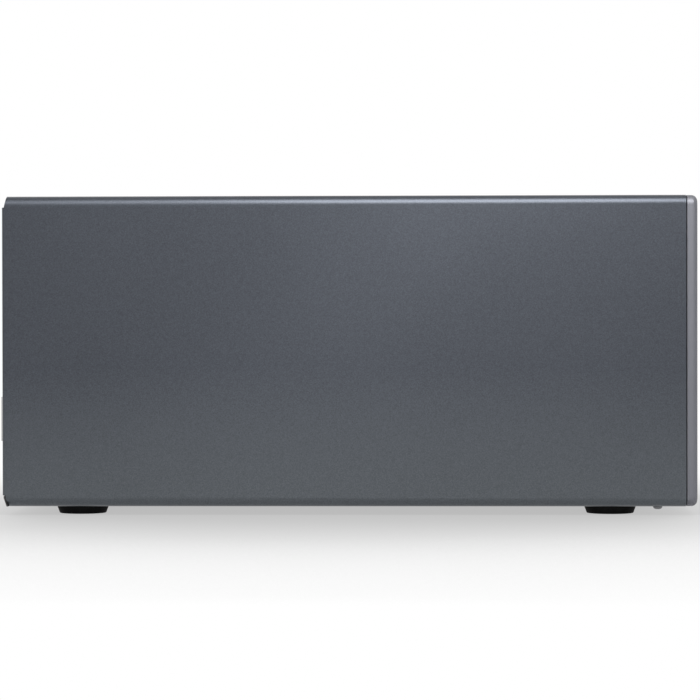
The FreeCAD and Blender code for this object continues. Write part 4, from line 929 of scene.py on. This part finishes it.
class TAPE_DRIVE_OT_fan(bpy.types.Operator):
    """Makes the fan's rotor with seven swept blades, and finishes its frame and finger guard"""
    bl_idname = "tape_drive.fan"
    bl_label = "Exhaust fan"

    def execute(self, context):
        sizes = context.scene.tape_drive_sizes
        low, high, _ = span("fan_rotor")
        axis = pivot("fan_spin")
        blades, hub, tip, axle = 7, 17.0 * MM, 35.8 * MM, 1.5 * MM
        hub_start = low.y + 3.6 * MM
        shape = bmesh.new()
        length = high.y - hub_start
        dish = rounded([(0, length - 0.5 * MM), (11.0 * MM, length - 0.5 * MM), (11.4 * MM, length), (hub, length),
                        (hub, 0), (hub - 1.4 * MM, 0), (hub - 1.4 * MM, length - 2.4 * MM),
                        (axle + 1.5 * MM, length - 2.4 * MM), (axle + 1.2 * MM, length * 0.3),
                        (axle, length * 0.3), (axle, low.y - hub_start), (0, low.y - hub_start)], 0.7 * MM)
        lathe(shape, dish, Vector((axis.x, hub_start, axis.z)), REARWARD, steps=96)
        middle = Vector((axis.x, (hub_start + high.y) / 2, axis.z))
        for i in range(blades):
            fan_blade(shape, middle, hub - 0.4 * MM, tip, 2 * math.pi * i / blades)
        piece_from("fan_impeller", shape, "fan_plastic", "fan_rotor", ["fan_rotor"], smooth=40)
        coat("fan_frame", "fan_plastic", sizes.edge_break)
        coat("fan_grille", "powder_coat", sizes.sheet_edge)
        return {"FINISHED"}


class TAPE_DRIVE_OT_sockets(bpy.types.Operator):
    """Finishes the mains inlet, the power rocker and the data sockets at the rear"""
    bl_idname = "tape_drive.sockets"
    bl_label = "Rear sockets and switch"

    def execute(self, context):
        sizes = context.scene.tape_drive_sizes
        edge = sizes.edge_break
        coat("mains_inlet", "spark_textured", edge)
        coat("switch_frame", "spark_textured", edge)
        coat("inlet_pins", "tinned", edge * 1.2)
        self.rocker()
        coat("port_cage", "tinned", sizes.sheet_edge)
        coat("bus_ports", "tinned", sizes.sheet_edge)
        coat("port_tongues", "solder_mask", edge * 0.5)
        self.contacts()
        return {"FINISHED"}

    def rocker(self):
        """A rocker with two smoothly dished halves, a bar on one and a ring on the other."""
        cheek = 4.9 * MM
        tilt = Matrix.Translation(pivot("rocker_tilt")) @ Matrix.Rotation(math.radians(7.0), 4, "X")
        face = [(t * 7.4 * MM, (3.55 + 1.05 * t * t) * MM) for t in (i / 12 - 1 for i in range(25))]
        outline = face + profile((5.6, -4.2), (-5.6, -4.2))
        shape = bmesh.new()
        bridge(shape, [[shape.verts.new((x, depth, height)) for height, depth in outline] for x in (-cheek, cheek)])
        bmesh.ops.recalc_face_normals(shape, faces=shape.faces)
        sharp = [e for e in shape.edges if e.is_manifold and e.calc_face_angle(0) > math.radians(30)]
        bmesh.ops.bevel(shape, geom=sharp, offset=0.35 * MM, segments=3, profile=0.5, affect="EDGES")
        lathe(shape, rounded(profile((0, -5.7), (1.0, -5.7), (1.0, 5.7), (0, 5.7)), 0.2 * MM),
              Vector(), (1, 0, 0), steps=32)
        bmesh.ops.transform(shape, matrix=tilt, verts=shape.verts)
        piece_from("power_key", shape, "smooth_black", "rocker", ["power_rocker"], smooth=30)

        marks = bmesh.new()
        lean = 0.157
        seat, sunk, reach = 3.87 * MM, 0.12 * MM, 4.1 * MM
        brick(marks, mm(-0.28, -0.12, -1.25), mm(0.28, 0.10, 1.25), 0.05 * MM,
              matrix=Matrix.Translation((0, seat, reach)) @ Matrix.Rotation(-lean, 4, "X"))
        lathe(marks, profile((0.85, 0), (1.3, 0), (1.3, 0.22), (0.85, 0.22), (0.85, 0)),
              Vector((0, seat - sunk, -reach)), (0, 1, lean), steps=48)
        bmesh.ops.transform(marks, matrix=tilt, verts=marks.verts)
        piece_from("power_key_marks", marks, "switch_marks", "rocker")

    def contacts(self):
        """The gold contacts on the tongues of the two data sockets."""
        low, high, middle = span("port_tongues")
        shape = bmesh.new()
        count, thick = 9, 0.12 * MM
        for z in (low.z, high.z - BOARD):
            for face in (z - 0.06 * MM, z + 1.54 * MM):
                for i in range(count):
                    x = middle.x + (i - (count - 1) / 2) * 1.05 * MM
                    brick(shape, (x - 0.3 * MM, high.y - 16 * MM, face),
                          (x + 0.3 * MM, high.y - 0.8 * MM, face + thick), 0.03 * MM, 1)
        piece_from("port_contacts", shape, "gold_plate", ENCLOSURE)


class TAPE_DRIVE_OT_supply(bpy.types.Operator):
    """Finishes the power supply's case and fills it with its board, cans and coils"""
    bl_idname = "tape_drive.supply"
    bl_label = "Power supply"

    def execute(self, context):
        sizes = context.scene.tape_drive_sizes
        coat("power_supply", "galvanised", sizes.sheet_edge)
        low, high, _ = span("supply_internals")
        board = bmesh.new()
        brick(board, low, (high.x, high.y, low.z + BOARD), 0.15 * MM)
        piece_from("supply_board", board, "solder_mask", ENCLOSURE, ["supply_internals"])
        spot = spots_from(low, BOARD)

        coolers, fins = bmesh.new(), 10
        for near, far in ((7, 19), (67, 59)):
            way = 1 if far > near else -1
            start, end = sorted((near, near + way * 2.2))
            brick(coolers, spot(start, 15, 0), spot(end, 85, 24), 0.2 * MM)
            for i in range(fins):
                y = 15 + i * 68.6 / (fins - 1)
                start, end = sorted((near + way * 2, far))
                brick(coolers, spot(start, y, 0), spot(end, y + 1.4, 24), 0.15 * MM, 1)
        piece_from("supply_coolers", coolers, "milled_metal", ENCLOSURE)

        core = bmesh.new()
        brick(core, spot(25, 52, 0), spot(53, 68, 26), 0.5 * MM)
        lathe(core, rounded(profile((4.6, 0), (9.8, 0), (9.8, 14), (4.6, 14), (4.6, 0)), 0.8 * MM), spot(37, 18, 1))
        piece_from("supply_cores", core, "ferrite", ENCLOSURE)
        winding = bmesh.new()
        brick(winding, spot(27, 46, 4), spot(51, 74, 22), 2.5 * MM, 4)
        piece_from("supply_winding", winding, "winding_tape", ENCLOSURE)

        turns, count = bmesh.new(), 28
        for i in range(count):
            spin = Matrix.Translation(spot(37, 18, 1)) @ Matrix.Rotation(math.radians(360 / count * i), 4, "Z")
            for start, end in (((4.1, -0.5, -0.4), (10.2, 0.5, 0.1)), ((4.1, -0.5, 13.9), (10.2, 0.5, 14.7)),
                               ((9.7, -0.5, -0.4), (10.4, 0.5, 14.7)), ((4.0, -0.4, -0.4), (4.7, 0.4, 14.7))):
                brick(turns, mm(*start), mm(*end), 0.2 * MM, 1, matrix=spin)
        piece_from("supply_choke_wire", turns, "magnet_wire", ENCLOSURE)

        sleeves, ends = bmesh.new(), bmesh.new()
        for x in (27, 49):
            lathe(sleeves, rounded(profile((0, 0), (9, 0), (9, 2.6), (8.5, 3.2), (9, 3.8), (9, 27), (7.6, 27),
                                           (7.6, 26.6), (0, 26.6)), 0.5 * MM), spot(x, 99, 0))
            lathe(ends, rounded(profile((0, 26.5), (7.5, 26.5), (7.5, 26.8), (0, 26.8)), 0.1 * MM), spot(x, 99, 0))
        piece_from("supply_can_sleeves", sleeves, "can_sleeve", ENCLOSURE)
        piece_from("supply_can_tops", ends, "milled_metal", ENCLOSURE)
        return {"FINISHED"}


class TAPE_DRIVE_OT_boards(bpy.types.Operator):
    """Finishes the circuit boards and makes their chips, coils, capacitors and headers"""
    bl_idname = "tape_drive.boards"
    bl_label = "Circuit boards"

    def execute(self, context):
        sizes = context.scene.tape_drive_sizes
        coat("board_tray", "galvanised", sizes.sheet_edge)
        coat("interface_board", "solder_mask", 0.1 * MM)
        coat("heat_sink", "milled_metal", 0.15 * MM)
        coat("drive_connectors", "moulded_chip", sizes.edge_break)
        coat("data_ribbon", "lead_sleeve", sizes.edge_break)
        self.interface_parts()
        self.drive_parts()
        return {"FINISHED"}

    def interface_parts(self):
        """The bridge chip, drivers, inductors, headers and capacitor of the interface board."""
        spot = spots_from(span("board_parts")[0])
        moulded, leads, blocks = bmesh.new(), bmesh.new(), bmesh.new()
        brick(moulded, spot(12, 30, 0), spot(34, 52, 1.9), 0.15 * MM)
        for x, y in ((0, 22), (0, 44), (22, 68)):
            package(moulded, leads, spot(x, y, 0), spot(x + 5, y + 5, 1.2), 0.65 * MM)
        for x, width, tall in ((2, 16, 5.5), (28, 16, 8.0)):
            brick(moulded, spot(x, 0, 0), spot(x + width, 6, tall), 0.3 * MM)
            for i in range(12):
                for y in (2.0, 4.0):
                    place = x + 1.2 + i * 1.23
                    brick(leads, spot(place - 0.25, y - 0.25, tall - 0.4), spot(place + 0.25, y + 0.25, tall + 0.15))
        for y in (18, 30, 42):
            brick(blocks, spot(42, y, 0.2), spot(50, y + 8, 4.5), 0.6 * MM, 3)
            for side in (42.6, 48.0):
                brick(leads, spot(side, y - 0.1, 0), spot(side + 1.4, y + 8.1, 1.4), 0.1 * MM, 1)
        piece_from("board_chips", moulded, "moulded_chip", ENCLOSURE, ["board_parts"])
        piece_from("board_leads", leads, "tinned", ENCLOSURE)
        piece_from("board_inductors", blocks, "ferrite", ENCLOSURE)
        can = bmesh.new()
        lathe(can, rounded(profile((0, 0), (4, 0), (4, 1.4), (3.7, 1.8), (4, 2.2), (4, 8), (0, 8)), 0.4 * MM),
              spot(46, 65, 0))
        piece_from("board_capacitor", can, "drawn_can", ENCLOSURE)

    def drive_parts(self):
        """The tape drive's own board, with its chips and the switch behind the eject key."""
        low, high, _ = span("drive_board")
        board, moulded, leads = bmesh.new(), bmesh.new(), bmesh.new()
        brick(board, low, (high.x, high.y, low.z + BOARD), 0.12 * MM)
        piece_from("drive_board_sheet", board, "solder_mask", ENCLOSURE, ["drive_board"])
        spot = spots_from(low, BOARD)
        for x, y, size, tall in ((29, 52, 24, 1.6), (75, 88, 20, 1.6), (17, 122, 14, 1.4), (99, 32, 14, 1.4)):
            package(moulded, leads, spot(x, y, 0), spot(x + size, y + size, tall), 0.8 * MM)
        brick(moulded, spot(116, 3.9, 0), spot(126, 9, 7.4), 0.3 * MM)
        piece_from("drive_chips", moulded, "moulded_chip", ENCLOSURE)
        piece_from("drive_chip_leads", leads, "tinned", ENCLOSURE)


# ---------------------------------------------------------------- operators: tape drive
class TAPE_DRIVE_OT_drive(bpy.types.Operator):
    """Finishes the cast frame and the lid of the tape drive, and turns its reel motors"""
    bl_idname = "tape_drive.drive"
    bl_label = "Drive frame and motors"

    def execute(self, context):
        sizes = context.scene.tape_drive_sizes
        coat("drive_frame", "cast_metal", sizes.edge_break)
        coat("drive_lid", "galvanised", sizes.sheet_edge)
        bases, cans = bmesh.new(), bmesh.new()
        low, high, _ = span("reel_motors")
        radius = 25 * MM
        for x, y, top, bore in ((low.x + radius, low.y + radius, 108.3 * MM, 3.05 * MM),
                                (high.x - radius, high.y - radius, high.z, 4.05 * MM)):
            tall = top - low.z
            lathe(bases, rounded(profile((20, 0), (25, 0), (25, 1.1), (20, 1.1), (20, 0)), 0.25 * MM),
                  Vector((x, y, low.z)), steps=96)
            lathe(cans, rounded([(bore, 0.6 * MM), (24.3 * MM, 0.6 * MM), (24.3 * MM, tall - 0.9 * MM),
                                 (23.4 * MM, tall), (12 * MM, tall), (11.4 * MM, tall - 0.5 * MM),
                                 (7.6 * MM, tall - 0.5 * MM), (7.0 * MM, tall), (bore, tall), (bore, 0.6 * MM)],
                                0.3 * MM), Vector((x, y, low.z)), steps=96)
        piece_from("motor_bases", bases, "cast_metal", ENCLOSURE, ["reel_motors"])
        piece_from("motor_cans", cans, "drawn_can", ENCLOSURE)
        coat("loader_motor", "drawn_can", sizes.edge_break)
        coat("threader_motor", "drawn_can", sizes.edge_break)
        return {"FINISHED"}


class TAPE_DRIVE_OT_loader(bpy.types.Operator):
    """Finishes the sled, the tray, the pinion and the chuck that load a cartridge"""
    bl_idname = "tape_drive.loader"
    bl_label = "Cartridge loader"

    def execute(self, context):
        sizes = context.scene.tape_drive_sizes
        coat("loader_sled", "galvanised", sizes.sheet_edge)
        coat("cartridge_tray", "galvanised", sizes.sheet_edge)
        coat("loader_pinion", "acetal", 0.12 * MM)
        coat("supply_chuck", "reel_plastic", 0.15 * MM)
        return {"FINISHED"}


class TAPE_DRIVE_OT_path(bpy.types.Operator):
    """Turns the guide rollers and posts, and finishes the reel, the head and the threading arm"""
    bl_idname = "tape_drive.path"
    bl_label = "Tape path"

    def execute(self, context):
        sizes = context.scene.tape_drive_sizes
        self.reel()
        self.rollers()
        coat("head_frame", "milled_metal")
        coat("head_sled", "milled_metal", 0.15 * MM)
        coat("tape_head", "lapped_ceramic", 0.2 * MM)
        low, high, middle = span("head_screw")
        radius = (high.x - low.x) / 2
        pitch = 0.5 * MM
        turns = int((high.z - low.z) / pitch) - 2
        outline = [(0, 0), (radius * 0.9, 0), (radius * 0.9, pitch)]
        for i in range(turns):
            outline += [(radius, pitch * (i + 1.25)), (radius * 0.78, pitch * (i + 1.75))]
        screw = bmesh.new()
        lathe(screw, outline + [(radius * 0.9, high.z - low.z), (0, high.z - low.z)],
              Vector((middle.x, middle.y, low.z)), steps=24)
        piece_from("lead_screw_thread", screw, "ground_steel", "lead_screw", ["head_screw"],
                   smooth=20)
        coat("threader_pivot", "ground_steel", 0.1 * MM)
        coat("threading_arm", "acetal", 0.12 * MM)
        coat("threader_pinion", "acetal", 0.1 * MM)
        coat("leader_block", "acetal", 0.2 * MM)
        return {"FINISHED"}

    def reel(self):
        """The take-up reel: two thin flanges with rounded rims, three windows and a notch for the leader."""
        low, high, middle = span("takeup_reel")
        radius, hub, shaft = 40 * MM, 22 * MM, 4 * MM
        floor, roof = 113.6 * MM - low.z, 128.4 * MM - low.z        # inner faces of the two flanges
        tall = high.z - low.z
        body = bmesh.new()
        lathe(body, rounded([(0, 0), (shaft, 0), (shaft, floor - 1.3 * MM), (radius, floor - 1.3 * MM),
                             (radius, floor), (hub, floor), (hub, roof), (radius, roof), (radius, tall),
                             (15 * MM, tall), (14 * MM, tall - 0.8 * MM), (0, tall - 0.8 * MM)], 0.35 * MM),
              Vector((middle.x, middle.y, low.z)), steps=128)
        cutter = bmesh.new()
        brick(cutter, (middle.x - hub - 1 * MM, middle.y - 5 * MM, 113.65 * MM),
              (middle.x - hub + 6 * MM, middle.y + 5 * MM, 128.35 * MM), 0.6 * MM, 3)
        for i in range(3):
            turn = Matrix.Translation((middle.x, middle.y, 0)) @ Matrix.Rotation(math.radians(120 * i), 4, "Z")
            brick(cutter, (26 * MM, -8 * MM, 127 * MM), (36 * MM, 8 * MM, 132 * MM), 2 * MM, 4, matrix=turn)
        piece_from("takeup_spool", carve(body, cutter), "reel_plastic", "reel", ["takeup_reel"])

    def rollers(self):
        """The flanged guide rollers and the collared posts that they turn on."""
        low, high, _ = span("roller_posts")
        posts = bmesh.new()
        for i in range(1, 5):
            node = "guide_roller_%d" % i
            start, end, middle = span(node)
            tall = end.z - start.z
            outer, tread, bore = 5.0 * MM, 4.62 * MM, 1.56 * MM
            roller = bmesh.new()
            grooves = []
            for k in range(6):
                height = 2.4 * MM + k * (tall - 4.8 * MM) / 5
                grooves += [(tread, height - 0.25 * MM), (4.47 * MM, height), (tread, height + 0.25 * MM)]
            lathe(roller, rounded([(bore, 0), (outer, 0), (outer, 0.9 * MM), (tread, 1.1 * MM)] + grooves
                                  + [(tread, tall - 1.1 * MM), (outer, tall - 0.9 * MM), (outer, tall),
                                     (bore, tall), (bore, 0)], 0.12 * MM, 2),
                  Vector((middle.x, middle.y, start.z)), steps=72)
            piece_from("tape_roller_%d" % i, roller, "ground_steel", "roller_%d" % i, [node],
                       smooth=30)
            height = high.z - low.z
            lathe(posts, rounded([(0, 0), (3.6 * MM, 0), (3.6 * MM, 8.2 * MM), (1.5 * MM, 8.2 * MM),
                                  (1.5 * MM, height), (0, height)], 0.3 * MM),
                  Vector((middle.x, middle.y, low.z)), steps=48)
        piece_from("roller_spindles", posts, "ground_steel", ENCLOSURE, ["roller_posts"])


# ---------------------------------------------------------------- operator: studio
# How white the floor's glow is painted where this share of the sky over it is open: a painted contact shadow.
FLOOR_SHADE = ((0.0, 0.497), (0.35, 0.53), (0.67, 0.59), (0.79, 0.65), (0.87, 0.71), (0.913, 0.776), (0.939, 0.831),
               (0.956, 0.888), (0.965, 0.930), (0.973, 0.960), (0.984, 1.0))
# The painted floor shadow is painted lighter from this far out along the box to this far, up to this share of the way
# to white.
FLOOR_ENDS = (0.130, 0.245, 0.64)
# Name, place, aim, width, height and brightness of each lamp.
LAMPS = (("lamp_key", (-0.56, -0.19, 0.62), (-0.086, -0.12, 0.15), 0.72, 0.50, 9.8),
         ("lamp_key_rear", (-0.56, 0.37, 0.62), (-0.086, 0.15, 0.15), 0.40, 0.50, 3.5),
         ("lamp_front", (-2.0, -0.25, 0.22), (0, -0.05, 0.08), 0.36, 0.4, 2.0),
         ("lamp_fill", (1.3, 0.7, 0.8), (0, 0, 0.08), 0.8, 0.8, 0.6))


class TAPE_DRIVE_OT_stage(bpy.types.Operator):
    """Lays the pale floor and lights the box with soft lamps and a white surround"""
    bl_idname = "tape_drive.stage"
    bl_label = "Floor and light"

    def execute(self, context):
        self.floor()
        self.surround(context.scene)
        for lamp in LAMPS:
            self.lamp(*lamp)
        context.scene.view_settings.view_transform = "Standard"
        return {"FINISHED"}

    def floor(self):
        """A wide round floor: matt to the light it passes on, and to the eye a white glow with a shadow painted into
        it where the box closes off the sky over it.
        """
        shape = bmesh.new()
        bmesh.ops.create_circle(shape, cap_ends=True, radius=14.0, segments=96)
        data = mesh_of("floor", shape)
        material = bpy.data.materials.new("pale_floor")
        material.use_nodes = True
        made = Nodes(material.node_tree)
        made.tree.nodes.clear()
        matt = made.node("ShaderNodeBsdfDiffuse")
        matt.inputs["Color"].default_value = (0.80, 0.80, 0.80, 1)
        # Painted shadow: ambient occlusion under and around the box darkens the floor's glow through the ramp below.
        shade = made.node("ShaderNodeAmbientOcclusion", samples=24)
        shade.inputs["Distance"].default_value = 0.45
        tone = made.ramp(shade.outputs["AO"], [(share, (white,) * 3) for share, white in FLOOR_SHADE])
        # Painted light: the floor's painted shadow is lightened off the two ends of the box.
        tone = made.blend(self.ends(made), tone, WHITE)
        # Reflections see the painted floor shadow at half strength, blended halfway to white.
        reflected = made.math("MULTIPLY_ADD", made.node("ShaderNodeLightPath").outputs["Is Camera Ray"], -0.5, 0.5)
        glow = made.node("ShaderNodeEmission")
        made.join(made.blend(reflected, tone, WHITE), glow.inputs["Color"])
        made.end("ShaderNodeOutputMaterial", matt, glow)
        data.materials.append(material)
        floor = stand("floor", data)

    def ends(self, made):
        """How much lighter the painted floor shadow is painted off the two ends of the box, by where the floor lies
        along it.
        """
        split = made.node("ShaderNodeSeparateXYZ")
        made.join(made.node("ShaderNodeTexCoord").outputs["Object"], split.inputs[0])
        away = made.math("ABSOLUTE", split.outputs["Y"])
        start, end, lighter = FLOOR_ENDS
        return made.between(away, start, end, 0.0, lighter, interpolation_type="SMOOTHSTEP")

    def surround(self, scene):
        """A world that is white to the eye and lights the object a little more from above than from the side."""
        world = bpy.data.worlds.new("studio")
        world.use_nodes = True
        made = Nodes(world.node_tree)
        made.tree.nodes.clear()
        light, white = made.node("ShaderNodeBackground"), made.node("ShaderNodeBackground")
        light.inputs["Strength"].default_value = 0.40
        white.inputs["Color"].default_value = (*WHITE, 1)
        white.inputs["Strength"].default_value = 1.0
        split = made.node("ShaderNodeSeparateXYZ")
        made.join(made.node("ShaderNodeTexCoord").outputs["Generated"], split.inputs[0])
        made.join(made.ramp(split.outputs["Z"], ((0.0, (0.62, 0.62, 0.64)), (0.8, WHITE))), light.inputs["Color"])
        made.end("ShaderNodeOutputWorld", light, white)
        scene.world = world

    def lamp(self, name, at, aim, width, height, brightness):
        """A soft rectangular lamp, as bright to the eye as this many white walls."""
        data = bpy.data.lights.new(name, "AREA")
        data.shape = "RECTANGLE"
        data.size = width
        data.size_y = height
        data.energy = brightness * math.pi * width * height
        lamp = stand(name, data)
        lamp.location = at
        lamp.rotation_euler = (Vector(aim) - Vector(at)).to_track_quat("-Z", "Y").to_euler()


# ---------------------------------------------------------------- panel and registration
STEPS = (TAPE_DRIVE_OT_camera, TAPE_DRIVE_OT_box, TAPE_DRIVE_OT_feet, TAPE_DRIVE_OT_fasteners, TAPE_DRIVE_OT_face,
         TAPE_DRIVE_OT_fan, TAPE_DRIVE_OT_sockets, TAPE_DRIVE_OT_supply, TAPE_DRIVE_OT_boards, TAPE_DRIVE_OT_drive,
         TAPE_DRIVE_OT_loader, TAPE_DRIVE_OT_path, TAPE_DRIVE_OT_stage)


class TAPE_DRIVE_PT_parts(bpy.types.Panel):
    """Lists the steps that dress the tape drive, with its sizes and colours"""
    bl_idname = "TAPE_DRIVE_PT_parts"
    bl_label = "Tape drive"
    bl_space_type = "VIEW_3D"
    bl_region_type = "UI"
    bl_category = "Tape Drive"

    def draw(self, context):
        layout = self.layout
        for step in STEPS:
            layout.operator(step.bl_idname)
        for group in (context.scene.tape_drive_sizes, context.scene.tape_drive_colours):
            column = layout.column(align=True)
            for key in group.__annotations__:
                column.prop(group, key)


CLASSES = (TapeDriveSizes, TapeDriveColours) + STEPS + (TAPE_DRIVE_PT_parts,)


def register():
    for kind in CLASSES:
        bpy.utils.register_class(kind)
    bpy.types.Scene.tape_drive_sizes = bpy.props.PointerProperty(type=TapeDriveSizes)
    bpy.types.Scene.tape_drive_colours = bpy.props.PointerProperty(type=TapeDriveColours)


def unregister():
    del bpy.types.Scene.tape_drive_colours
    del bpy.types.Scene.tape_drive_sizes
    for kind in reversed(CLASSES):
        bpy.utils.unregister_class(kind)


def main():
    """Makes every piece in order."""
    register()
    for step in STEPS:
        group, name = step.bl_idname.split(".")
        getattr(getattr(bpy.ops, group), name)()


if __name__ == "__main__":
    main()
